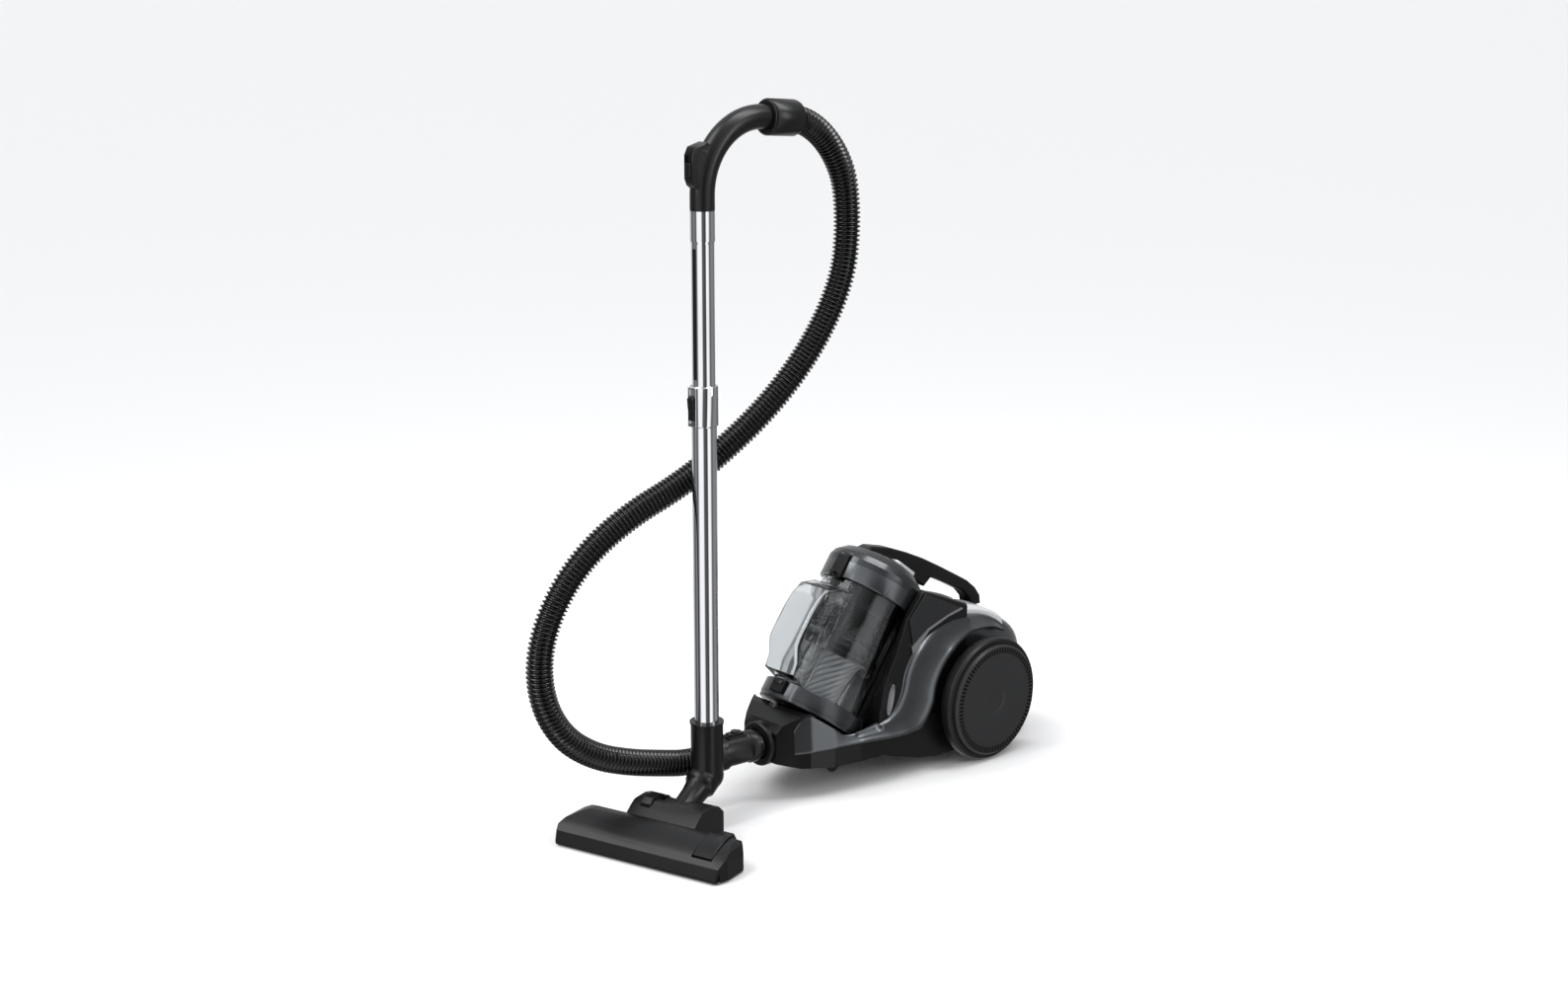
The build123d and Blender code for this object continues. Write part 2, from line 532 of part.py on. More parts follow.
aside = math.radians(CONNECT_TURN)
drop = math.radians(CONNECT_DROP)
OUTWARD = Vector(-math.sin(aside) * math.cos(drop), -math.cos(aside) * math.cos(drop), -math.sin(drop))
CON = Plane(
    origin=(0, INLET_Y - 18, INLET_Z),
    x_dir=(math.cos(aside), -math.sin(aside), 0),
    z_dir=tuple(OUTWARD),
)
connector = turned([
    (16, 2), (24.2, 2), (24.2, 10), (26, 10), (26, 22), (23.5, 26), (23.5, CONNECT_LEN),
    (20, CONNECT_LEN), (20, CONNECT_LEN + 18), (16, CONNECT_LEN + 18),
])
connector = connector + (block(-10, 10, 20, 27, 27, 60) - drum(18, -20, 100))
connector -= block(-7 - FIT, 7 + FIT, 21.5, 40, 29, 58)
parts["connector"] = CON * connector
clip = block(-7, 7, 24, 30, 30, 56) + Pos(0, 29, 43) * Rot(90, 0, 0) * Cylinder(6.5, 8)
clip = clip + block(-4, 4, 24, 28, 56, 57.5)
parts["connector_clip"] = CON * clip
end_low = CONNECT_LEN + FIT
end_collar = turned([
    (20 + RUN, end_low), (27, end_low), (27, end_low + 34), (25, end_low + 40), (HOSE_R + 0.6, end_low + 40),
    (HOSE_R + 0.6, end_low + 18.5), (20 + RUN, end_low + 18.5),
])
for index in range(10):
    end_collar -= Rot(0, 0, index * 36) * block(26.2, 30, -1.5, 1.5, end_low + 6, end_low + 30)
parts["hose_end_collar"] = CON * end_collar

# ---- telescopic wand ----------------------------------------------------------
WAND = Pos(WAND_X, WAND_Y, 0)
parts["lower_tube"] = WAND * tube(LOWER_R, LOWER_R - TUBE_WALL, 150, LOWER_TOP)
tube_collar = turned([
    (LOWER_R + SEAT, COLLAR_LOW), (LOWER_R + 2.5, COLLAR_LOW + 2), (LOWER_R + 2.5, COLLAR_TOP - 2),
    (LOWER_R + 1.5, COLLAR_TOP), (UPPER_R + FIT, COLLAR_TOP),
    (UPPER_R + FIT, LOWER_TOP + SEAT), (LOWER_R + SEAT, LOWER_TOP + SEAT),
])
slider_bed = block(-9, 9, -LOWER_R - 5.3, -LOWER_R + 3.7, COLLAR_LOW + 2, COLLAR_TOP - 1)
tube_collar = tube_collar + (slider_bed - drum(LOWER_R + SEAT, COLLAR_LOW - 30, COLLAR_TOP + 8))
tube_collar -= block(-7, 7, -30, -LOWER_R - 3, COLLAR_LOW + 8, LOWER_TOP + 2)
parts["tube_collar"] = WAND * tube_collar
SLIDER_OFF = [(3.3, 10), (3.3, 48), (6.3, 48), (9.3, 44), (8.3, 32), (6.8, 22), (7.3, 12)]
slider_side = [(-LOWER_R - out, COLLAR_LOW + up) for out, up in SLIDER_OFF]
slider = side_prism(slider_side, -7 + FIT, 7 - FIT)
parts["release_slider"] = WAND * slider
strip_room = tube(UPPER_R + 1, UPPER_R - 0.6, 702, 896) & block(-4, 4, -30, 0, 690, 900)
upper_tube = turned([
    (UPPER_R - 1, UPPER_LOW), (UPPER_R, UPPER_LOW), (UPPER_R, 903), (UPPER_R + 1.2, 907),
    (UPPER_R + 1.2, GRIP_LOW - SEAT), (15, GRIP_LOW - SEAT), (15, UPPER_TOP), (14, UPPER_TOP),
    (14, 900), (UPPER_R - 1, 897),
])
parts["upper_tube"] = WAND * (upper_tube - strip_room)
strip = tube(UPPER_R, UPPER_R - 0.6 + SEAT, 702 + SEAT, 896 - SEAT)
strip = strip & block(-4 + SEAT, 4 - SEAT, -30, 0, 690, 900)
for index in range(12):
    strip -= block(-2.6, 2.6, -20, -UPPER_R + 0.3, 712 + index * 15, 717 + index * 15)
parts["notch_strip"] = WAND * strip

# ---- handle -------------------------------------------------------------------
fall = math.tan(math.radians(GRIP_DROP))
GRIP_DIR = Vector(0, math.cos(math.radians(GRIP_DROP)), -math.sin(math.radians(GRIP_DROP)))
grip_corner = Vector(WAND_X, WAND_Y, GRIP_TOP)
grip_end = grip_corner + GRIP_DIR * (GRIP_END / GRIP_DIR.Y)
grip_foot = (WAND_X, WAND_Y, GRIP_LOW + SEAT)
grip_path = FilletPolyline(grip_foot, tuple(grip_corner), tuple(grip_end), radius=GRIP_BEND)
grip_disc = Plane(origin=(WAND_X, WAND_Y, GRIP_LOW + SEAT), z_dir=(0, 0, 1)) * Circle(GRIP_R)
bore_disc = Plane(origin=(WAND_X, WAND_Y, GRIP_LOW + SEAT), z_dir=(0, 0, 1)) * Circle(GRIP_R - 3.4)
handle_solid = sweep(grip_disc, path=grip_path)
handle_bore = sweep(bore_disc, path=grip_path)
GRIP_TIP = Plane(origin=tuple(grip_end), x_dir=(1, 0, 0), z_dir=tuple(GRIP_DIR))
boss_side = [(-14, 982), (-22, 988), (-26, 998), (-26, 1032), (-20, 1044), (2, 1050), (20, 1040), (0, 990)]
boss = side_prism([(WAND_Y + y, z) for y, z in boss_side], WAND_X - 11, WAND_X + 11)
boss = soften(boss, boss.edges().filter_by(Plane.YZ), 3)
valve_room = block(WAND_X - 7, WAND_X + 7, WAND_Y - 40, WAND_Y - 22.5, 1000, 1032)
spigot = GRIP_TIP * drum(GRIP_R, -1, 14)
handle_grip = handle_solid + boss + spigot - handle_bore - valve_room - GRIP_TIP * drum(GRIP_R - 3.4, -3, 30)
parts["handle_grip"] = handle_grip
valve = block(WAND_X - 7 + FIT, WAND_X + 7 - FIT, WAND_Y - 28.5, WAND_Y - 22.5 - FIT, 1001, 1021)
valve = soften(valve, valve.edges().group_by(Axis.Y)[0], 1.5)
parts["suction_valve"] = valve
hose_cuff = turned([
    (GRIP_R + RUN, FIT), (25, FIT), (HOSE_CUFF_R, 4), (HOSE_CUFF_R, 54), (25.5, CUFF_LEN),
    (HOSE_R + 2.2, CUFF_LEN), (HOSE_R + 0.6, 40), (HOSE_R + 0.6, 16), (GRIP_R + RUN, 16),
])
handle_clear = GRIP_TIP * hose_cuff
parts["hose_cuff"] = handle_clear

# ---- hose -----------------------------------------------------------------------
hose_start = grip_end + GRIP_DIR * 30
hose_first = grip_end + GRIP_DIR * 61
hose_last = (CON.location * Pos(0, 0, 130)).position
hose_stop = (CON.location * Pos(0, 0, 86)).position
HOSE_POINTS = [
    tuple(hose_start), tuple(hose_first), (31, -307, 1062), (31, -279, 1041), (32, -257, 1014),
    (33, -241, 981), (34, -235, 943), (35, -234.5, 895), (36, -243, 834), (34, -274, 768), (27, -325, 697),
    (12, -388, 630), (-8, -460, 572), (-24, -530, 529), (-42, -612, 493), (-56, -684, 443),
    (-64, -738, 377), (-66, -768, 302), (-62, -766, 228), (-52, -737, 168), (-43, -684, 128),
    (-35, -624, 106), (-28, -566, 92), tuple(hose_last), tuple(hose_stop),
]


def bend_radii(points):
    """One bend radius per corner: 0.45 of the shorter run over the tangent of half the turn."""
    radii = []
    for before, here, after in zip(points, points[1:], points[2:]):
        arrive = Vector(*here) - Vector(*before)
        leave = Vector(*after) - Vector(*here)
        half_turn = math.radians(arrive.get_angle(leave)) / 2
        radii.append(0.45 * min(arrive.length, leave.length) / math.tan(half_turn))
    return radii


hose_radii = bend_radii(HOSE_POINTS)
hose_path = FilletPolyline(*HOSE_POINTS, radius=hose_radii)
hose_ring = Plane(origin=hose_path @ 0, z_dir=hose_path % 0) * (Circle(HOSE_R) - Circle(HOSE_R - HOSE_WALL))
parts["hose"] = sweep(hose_ring, path=hose_path)
print("hose length", round(hose_path.length, 1), "bend radii", [round(r) for r in hose_radii])

# ---- elbow and neck ---------------------------------------------------------------
neck_lean = math.radians(NECK_LEAN)
NECK = HEAD * Plane(
    origin=(0, 0, ELBOW_Z), x_dir=(1, 0, 0), z_dir=(0, -math.cos(neck_lean), -math.sin(neck_lean)))
BORE_R = 16.5
elbow = drum(CUFF_R, ELBOW_Z, CUFF_TOP - 2) + drum(CUFF_R + 1.5, CUFF_TOP - 3, CUFF_TOP)
elbow = elbow + Pos(0, 0, ELBOW_Z) * Sphere(CUFF_R + 0.7)
elbow = WAND * elbow + NECK * drum(CUFF_R, 0, 16)
elbow -= WAND * (drum(BORE_R, ELBOW_Z - 4, 160) + drum(LOWER_R + SEAT, 150 - SEAT, 200))
elbow -= NECK * (drum(BORE_R - 1, -4, 20) + drum(40, 16, 60))
parts["elbow_cuff"] = elbow
neck_long = PIVOT_F / math.cos(neck_lean)
pivot_z = ELBOW_Z - neck_long * math.sin(neck_lean)
neck = turned([
    (15, 16.8), (CUFF_R, 16.8), (CUFF_R, 24), (NECK_R + 2, 30), (NECK_R, 46), (NECK_R, neck_long), (15, neck_long),
])
barrel = HEAD * across(PIVOT_R, -26, 26, -PIVOT_F, pivot_z)
neck = NECK * neck + barrel + HEAD * across(6, -33.4, 33.4, -PIVOT_F, pivot_z)
neck -= NECK * drum(15, 15, neck_long - 2)
neck -= HEAD * across(13, -20, 20, -PIVOT_F, pivot_z)
parts["neck"] = neck

# ---- floor head ---------------------------------------------------------------------
def head_profile(points, x_from, x_to):
    """A (front distance, z) outline pulled along the floor head."""
    return side_prism([(-f, z) for f, z in points], x_from, x_to)


head_outline = [
    (HEAD_REAR, 3), (HEAD_FRONT - 2, 3), (HEAD_FRONT, 8), (194, 24), (182, 34), (165, 42), (145, 48),
    (132, 49), (HEAD_REAR, 44),
]
head_room = [
    (HEAD_REAR + 3, 2), (HEAD_FRONT - 5, 2), (HEAD_FRONT - 5, 8), (190, 21), (179, 31), (163, 38.5),
    (144, 45), (132, 46), (HEAD_REAR + 3, 42),
]
head_plan = plan_prism([
    (-HEAD_HALF, -HEAD_REAR), (-HEAD_HALF, -176), (-HEAD_HALF + 8, -HEAD_FRONT), (HEAD_HALF - 8, -HEAD_FRONT),
    (HEAD_HALF, -176), (HEAD_HALF, -HEAD_REAR - 10), (HEAD_HALF - 10, -HEAD_REAR),
    (-HEAD_HALF + 10, -HEAD_REAR)], 0, 80)
end_arch = [(-HEAD_HALF, 2), (-HEAD_HALF, 26), (-HEAD_HALF + 8, 38), (-HEAD_HALF + 26, 46), (-HEAD_HALF + 44, 50),
            (HEAD_HALF - 30, 50), (HEAD_HALF - 12, 47), (HEAD_HALF - 4, 42), (HEAD_HALF, 30), (HEAD_HALF, 2)]
arch_face = Plane.XZ * make_face(Polyline(*end_arch, close=True))
arch_prism = extrude(arch_face, amount=300, dir=(0, -1, 0))
nozzle = head_profile(head_outline, -HEAD_HALF, HEAD_HALF) & head_plan & arch_prism
nozzle_room = head_profile(head_room, -HEAD_HALF + 5, HEAD_HALF - 5) & (Pos(0, 0, -3) * arch_prism)
block_outline = [
    (BLOCK_REAR, 6), (HEAD_REAR + 6, 6), (HEAD_REAR + 6, 46), (118, 56), (104, 65), (84, BLOCK_TOP),
    (62, 60), (BLOCK_REAR, 48),
]
block_room = [
    (BLOCK_REAR + 3, 2), (HEAD_REAR + 8, 2), (HEAD_REAR + 8, 40), (116, 53), (103, 61), (84, 62.5),
    (64, 57), (BLOCK_REAR + 3, 46),
]
centre = head_profile(block_outline, -BLOCK_HALF, BLOCK_HALF)
centre = soften(centre, centre.edges().filter_by(Plane.YZ).group_by(Axis.Z)[-1], 4)
cheek_l = head_profile(block_room, -BLOCK_HALF + 3, -34)
cheek_r = head_profile(block_room, 34, BLOCK_HALF - 3)
head_shell = nozzle + centre - nozzle_room - cheek_l - cheek_r
neck_bay = head_profile([(40, 8), (96, 8), (96, 80), (40, 80)], -29, 29)
neck_bay = neck_bay + head_profile([(94, 8), (130, 8), (130, 44), (94, 58)], -29, 29)
head_shell -= neck_bay
head_shell -= across(6 + RUN, -33.7, 33.7, -PIVOT_F, pivot_z)
tray = block(-BLOCK_HALF, BLOCK_HALF, -HEAD_REAR - 3, -BLOCK_REAR, 3, 8)
for side in (-1, 1):
    wheel_room = across(11, side * 42 - 6, side * 42 + 6, -62, 9)
    tray -= wheel_room
    head_shell -= wheel_room
tray -= across(2 + RUN, -48, 48, -62, 9)
head_shell -= across(2 + RUN, -48, 48, -62, 9)
tray -= head_profile([(HEAD_REAR, 3), (140, 3), (140, 9), (HEAD_REAR, 9)], -70, 70)
head_shell = head_shell + tray
PEDAL_S = 112.0
pedal_room = block(PEDAL_S - 18, PEDAL_S + 18, -186, -112, 20, 60)
head_shell -= pedal_room & block(-200, 200, -300, 0, 26, 60)
head_shell += block(PEDAL_S - 20, PEDAL_S + 20, -188, -110, 23, 26) & nozzle
tread_room = block(-46, -28, -116, -74, 50, 70)
head_shell = head_shell - tread_room + (block(-48, -29.2, -118, -72, 50, 52.5) & centre)
parts["head_shell"] = HEAD * head_shell

sole = block(-HEAD_HALF + 8, HEAD_HALF - 8, -HEAD_FRONT + 6, -HEAD_REAR - 1, 0, 3 - SEAT)
sole -= block(-HEAD_HALF + 24, HEAD_HALF - 24, -166, -152, -1, 5)
for front, back in ((-188, -180), (-140, -132)):
    sole -= block(-HEAD_HALF + 16, HEAD_HALF - 16, front, back, -1, 5)
parts["sole_plate"] = HEAD * sole
bristles = block(-HEAD_HALF + 17, HEAD_HALF - 17, -187, -181, 0.5, 14)
bristles = bristles + block(-HEAD_HALF + 17, HEAD_HALF - 17, -139, -133, 0.5, 14)
bristles = bristles + block(-HEAD_HALF + 17, -HEAD_HALF + 23, -187, -133, 8, 14)
bristles = bristles + block(HEAD_HALF - 23, HEAD_HALF - 17, -187, -133, 8, 14)
parts["brush_strips"] = HEAD * bristles
head_wheels = across(9, -46, -38, -62, 9) + across(9, 38, 46, -62, 9) + across(2, -47, 47, -62, 9)
parts["head_wheels"] = HEAD * head_wheels
big_pedal_side = [(118, 30), (182, 28.5), (184, 34), (166, 44), (140, 52), (122, 52), (116, 42)]
big_pedal = head_profile(big_pedal_side, PEDAL_S - 17, PEDAL_S + 17)
big_pedal = soften(big_pedal, big_pedal.edges().filter_by(Plane.YZ), 2)
parts["pedal_front"] = HEAD * (big_pedal + across(3, PEDAL_S - 12, PEDAL_S + 12, -150, 29.3))
small_pedal = head_profile([(76, 56), (114, 54), (113, 62), (104, 69), (84, 70), (76, 66)], -46 + FIT, -28 - FIT)
parts["pedal_small"] = HEAD * (small_pedal + across(2, -42, -32, -95, 54.8))

# ---- screws under the tub --------------------------------------------------------
screws = None
for x, y in ((-60, -60), (60, -60), (-60, 120), (60, 120)):
    screw = drum(4, 15.5, 18 - SEAT, x, y) - block(x - 3, x + 3, y - 0.5, y + 0.5, 15, 16.5)
    screws = screw if screws is None else screws + screw
parts["tub_screws"] = screws

# ---- move everything onto the origin and write the files ----------------------------
CORDS = ("hose",)
low = Vector(1e6, 1e6, 0)
high = Vector(-1e6, -1e6, 0)
for name, shape in parts.items():
    if name in CORDS:
        continue
    box = shape.bounding_box()
    low = Vector(min(low.X, box.min.X), min(low.Y, box.min.Y), 0)
    high = Vector(max(high.X, box.max.X), max(high.Y, box.max.Y), 0)
centre_shift = Pos(-(low.X + high.X) / 2, -(low.Y + high.Y) / 2, 0)
print("moved by", [round(v, 4) for v in centre_shift.position])

os.makedirs("parts", exist_ok=True)
for name, shape in parts.items():
    export_step(centre_shift * shape, f"parts/{name}.step")
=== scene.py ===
import json
import math

import bmesh
import bpy
from mathutils import Matrix, Vector


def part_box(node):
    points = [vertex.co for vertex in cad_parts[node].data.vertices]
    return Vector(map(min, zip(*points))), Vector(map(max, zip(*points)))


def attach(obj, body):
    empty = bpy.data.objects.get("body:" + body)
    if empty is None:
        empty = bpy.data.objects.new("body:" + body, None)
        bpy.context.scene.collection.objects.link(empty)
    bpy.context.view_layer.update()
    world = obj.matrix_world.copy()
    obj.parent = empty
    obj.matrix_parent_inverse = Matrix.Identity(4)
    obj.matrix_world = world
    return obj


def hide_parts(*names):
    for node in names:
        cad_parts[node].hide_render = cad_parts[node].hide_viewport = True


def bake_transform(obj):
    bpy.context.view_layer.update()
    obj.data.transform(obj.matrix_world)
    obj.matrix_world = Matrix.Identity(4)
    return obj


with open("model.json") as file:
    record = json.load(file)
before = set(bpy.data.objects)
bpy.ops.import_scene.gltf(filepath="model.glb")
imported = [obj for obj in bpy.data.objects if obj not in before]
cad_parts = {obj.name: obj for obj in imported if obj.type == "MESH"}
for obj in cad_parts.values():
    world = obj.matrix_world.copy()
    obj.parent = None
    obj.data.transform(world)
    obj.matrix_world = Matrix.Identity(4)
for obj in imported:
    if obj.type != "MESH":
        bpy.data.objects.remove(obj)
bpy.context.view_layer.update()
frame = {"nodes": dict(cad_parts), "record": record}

# ---------------------------------------------------------------------------
# Studio: a pale seamless floor, a wide soft key from above, three narrow soft
# boxes that draw bright lines on the tubes and the hose, and bright and dark
# cards all round for the gloss to show.
# ---------------------------------------------------------------------------
scene = bpy.context.scene
WAND_X, WAND_Y = 0.0305, -0.523
CAMERA_PLACE = (2548.8, -2661.8, 1350)
CAMERA_TILT, CAMERA_HEADING = 76, 47.6
LENS, SENSOR = 52.14, 36
FLOOR_REACH = 300
PAPER = (0.86, 0.86, 0.86, 1)
KEY_ENERGY, KEY_SPREAD, KEY_FROM = 1.5, 35, (-0.35, -0.55, 1.0)
CARDS_HEADING = 42.4
CARDS_TOP, CEILING_LOW = 0.35, 0.8
CEILING, BACKDROP = (0.75, 0.76, 0.78, 1), (0.82, 0.82, 0.82, 1)
tube_low, tube_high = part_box("lower_tube")
SHIFT = Vector(((tube_low.x + tube_high.x) / 2 - WAND_X, (tube_low.y + tube_high.y) / 2 - WAND_Y, 0))


def at(x, y, z):
    """A point given in millimetres round the canister's mid-plane and axle, as the frame's metres."""
    return Vector((x, y, z)) / 1000 + SHIFT


camera_data = bpy.data.cameras.new("camera")
camera_data.lens = LENS
camera_data.sensor_width = SENSOR
camera = bpy.data.objects.new("camera", camera_data)
camera.location = at(*CAMERA_PLACE)
camera.rotation_euler = (math.radians(CAMERA_TILT), 0, math.radians(CAMERA_HEADING))
scene.collection.objects.link(camera)
scene.camera = camera

floor_mesh = bpy.data.meshes.new("studio_floor")
floor_corners = [(x * FLOOR_REACH, y * FLOOR_REACH, 0) for x, y in ((-1, -1), (1, -1), (1, 1), (-1, 1))]
floor_mesh.from_pydata(floor_corners, [], [(0, 1, 2, 3)])
studio_floor = bpy.data.objects.new("studio_floor", floor_mesh)
scene.collection.objects.link(studio_floor)
paper = bpy.data.materials.new("pale_paper")
paper.use_nodes = True
paper_surface = paper.node_tree.nodes["Principled BSDF"]
paper_surface.inputs["Base Color"].default_value = PAPER
paper_surface.inputs["Roughness"].default_value = 0.7
paper_surface.inputs["Specular IOR Level"].default_value = 0.2
floor_mesh.materials.append(paper)
studio_floor.visible_glossy = False

sun_data = bpy.data.lights.new("key_light", "SUN")
sun_data.energy = KEY_ENERGY
sun_data.angle = math.radians(KEY_SPREAD)
sun = bpy.data.objects.new("key_light", sun_data)
sun.rotation_euler = Vector(KEY_FROM).to_track_quat("Z", "Y").to_euler()
scene.collection.objects.link(sun)


def softbox(name, place, aim, width, height, power):
    """A rectangular light that faces a point."""
    data = bpy.data.lights.new(name, "AREA")
    data.shape = "RECTANGLE"
    data.size = width
    data.size_y = height
    data.energy = power
    light = bpy.data.objects.new(name, data)
    light.location = place
    light.rotation_euler = (Vector(aim) - Vector(place)).to_track_quat("-Z", "Y").to_euler()
    scene.collection.objects.link(light)


softbox("overhead", (0.5, 0.4, 2.4), (0, 0.1, 0.1), 0.5, 1.6, 22)
softbox("front_strip", (-0.2, -2.2, 1.7), (0, 0, 0.4), 0.22, 1.6, 16)
softbox("side_strip", (2.3, 0.9, 1.5), (0, 0.1, 0.2), 0.22, 1.4, 14)

# Tall bright and dark cards stand all round, as (bearing in degrees, brightness).
CARDS = [
    (-180, 0.70), (-130, 0.60), (-110, 0.06), (-86, 0.30), (-62, 0.10), (-46, 1.25), (-12, 1.25), (-3, 0.16),
    (28, 0.05), (37, 1.25), (56, 1.25), (68, 0.14), (100, 0.30), (140, 0.22), (165, 0.70), (180, 0.70),
]
world = bpy.data.worlds.new("studio")
scene.world = world
world.use_nodes = True
world_nodes, world_links = world.node_tree.nodes, world.node_tree.links
heading = world_nodes.new("ShaderNodeTexCoord")
faced = world_nodes.new("ShaderNodeMapping")
faced.inputs["Rotation"].default_value = (0, 0, math.radians(CARDS_HEADING))
parts_of_heading = world_nodes.new("ShaderNodeSeparateXYZ")
bearing = world_nodes.new("ShaderNodeMath")
bearing.operation = "ARCTAN2"
turn_share = world_nodes.new("ShaderNodeMapRange")
turn_share.inputs["From Min"].default_value = -math.pi
turn_share.inputs["From Max"].default_value = math.pi
cards = world_nodes.new("ShaderNodeValToRGB")
while len(cards.color_ramp.elements) < len(CARDS):
    cards.color_ramp.elements.new(0.5)
for element, (degrees, brightness) in zip(cards.color_ramp.elements, CARDS):
    element.position = (degrees + 180) / 360
    element.color = (brightness, brightness, brightness * 1.01, 1)
height_share = world_nodes.new("ShaderNodeMapRange")
height_share.inputs["From Min"].default_value = CARDS_TOP
height_share.inputs["From Max"].default_value = CEILING_LOW
ceiling = world_nodes.new("ShaderNodeMix")
ceiling.data_type = "RGBA"
ceiling.inputs["B"].default_value = CEILING
eye = world_nodes.new("ShaderNodeLightPath")
backdrop = world_nodes.new("ShaderNodeMix")
backdrop.data_type = "RGBA"
backdrop.inputs["B"].default_value = BACKDROP
world_links.new(heading.outputs["Generated"], faced.inputs["Vector"])
world_links.new(faced.outputs["Vector"], parts_of_heading.inputs["Vector"])
world_links.new(parts_of_heading.outputs["Y"], bearing.inputs[0])
world_links.new(parts_of_heading.outputs["X"], bearing.inputs[1])
world_links.new(bearing.outputs[0], turn_share.inputs["Value"])
world_links.new(turn_share.outputs["Result"], cards.inputs["Fac"])
world_links.new(parts_of_heading.outputs["Z"], height_share.inputs["Value"])
world_links.new(height_share.outputs["Result"], ceiling.inputs["Factor"])
world_links.new(cards.outputs["Color"], ceiling.inputs["A"])
world_links.new(eye.outputs["Is Camera Ray"], backdrop.inputs["Factor"])
world_links.new(ceiling.outputs["Result"], backdrop.inputs["A"])
world_links.new(backdrop.outputs["Result"], world_nodes["Background"].inputs["Color"])
scene.view_settings.view_transform = "Standard"

# ---------------------------------------------------------------------------
# Suction hose: a ribbed tube of glossy black EVA, about one and a half
# metres long, that runs from the handle's collar to the canister's connector.
# Its ribs are separate rounded rings, about 7 mm from ridge to ridge.
# ---------------------------------------------------------------------------
HOSE_ROUTE = [
    (31, -307, 1062), (31, -279, 1041), (32, -257, 1014), (33, -241, 981), (34, -235, 943),
    (35, -234.5, 895), (36, -243, 834), (34, -274, 768), (27, -325, 697), (12, -388, 630),
    (-8, -460, 572), (-24, -530, 529), (-42, -612, 493), (-56, -684, 443), (-64, -738, 377),
    (-66, -768, 302), (-62, -766, 228), (-52, -737, 168), (-43, -684, 128), (-35, -624, 106),
    (-28, -566, 92),
]
GRIP_DROP = math.radians(4.6)
GRIP_AXIS = Vector((0, math.cos(GRIP_DROP), -math.sin(GRIP_DROP)))
grip_end = at(30.5, -400, 1089 - 123 * math.tan(GRIP_DROP))
aside, drop = math.radians(9), math.radians(2.5)
OUTLET_AXIS = Vector((-math.sin(aside) * math.cos(drop), -math.cos(aside) * math.cos(drop), -math.sin(drop)))
outlet = at(0, -390, 88)
hose_points = [grip_end + GRIP_AXIS * 0.030, grip_end + GRIP_AXIS * 0.061]
hose_points += [at(*point) for point in HOSE_ROUTE]
hose_points += [outlet + OUTLET_AXIS * 0.130, outlet + OUTLET_AXIS * 0.086]

hose_curve = bpy.data.curves.new("hose_line", "CURVE")
hose_curve.dimensions = "3D"
hose_curve.resolution_u = 24
hose_spline = hose_curve.splines.new("NURBS")
hose_spline.points.add(len(hose_points) - 1)
for control, point in zip(hose_spline.points, hose_points):
    control.co = (*point, 1)
hose_spline.order_u = 3
hose_spline.use_endpoint_u = True
hose_line = bpy.data.objects.new("hose_line", hose_curve)
scene.collection.objects.link(hose_line)
bpy.context.view_layer.update()
line_mesh = bpy.data.meshes.new_from_object(hose_line.evaluated_get(bpy.context.evaluated_depsgraph_get()))
hose_path = [v.co.copy() for v in line_mesh.vertices]
bpy.data.objects.remove(hose_line)
hose_length = sum((b - a).length for a, b in zip(hose_path, hose_path[1:]))


def along_path(path, distances):
    """Points and directions at the given distances along a path."""
    found = []
    run = 0.0
    index = 0
    for distance in distances:
        while index < len(path) - 2 and run + (path[index + 1] - path[index]).length < distance:
            run += (path[index + 1] - path[index]).length
            index += 1
        step = path[index + 1] - path[index]
        found.append((path[index] + step * min(1, (distance - run) / step.length), step.normalized()))
    return found


def swept_rings(name, path, distances, radii, sides):
    """A closed skin of rings of the given radii along a path, each ring square to it, without twist."""
    places = along_path(path, distances)
    skin = bmesh.new()
    side = places[0][1].orthogonal().normalized()
    rings = []
    for (centre, direction), radius in zip(places, radii):
        side = (side - direction * side.dot(direction)).normalized()
        across = direction.cross(side)
        rings.append([
            skin.verts.new(centre + (side * math.cos(turn) + across * math.sin(turn)) * radius)
            for turn in (2 * math.pi * k / sides for k in range(sides))
        ])
    for near, far in zip(rings, rings[1:]):
        for k in range(sides):
            skin.faces.new((near[k], near[(k + 1) % sides], far[(k + 1) % sides], far[k]))
    skin.faces.new(list(reversed(rings[0])))
    skin.faces.new(rings[-1])
    bmesh.ops.recalc_face_normals(skin, faces=skin.faces)
    mesh = bpy.data.meshes.new(name)
    skin.to_mesh(mesh)
    skin.free()
    mesh.shade_smooth()
    return mesh


RIB_PITCH = 0.0068
HOSE_SIDES = 28
rib_count = int(hose_length / RIB_PITCH)
rib_step = hose_length / rib_count
# One rib, as (share of the pitch, radius).
rib_shape = [
    (0.0, 0.0168), (0.16, 0.0170), (0.34, 0.0200), (0.46, 0.0210), (0.58, 0.0210), (0.72, 0.0198),
    (0.88, 0.0170),
]
hose_distances = [(rib + part) * rib_step for rib in range(rib_count) for part, _ in rib_shape]
hose_radii = [radius for _ in range(rib_count) for _, radius in rib_shape]
hose_mesh = swept_rings("ribbed_hose", hose_path, hose_distances, hose_radii, HOSE_SIDES)


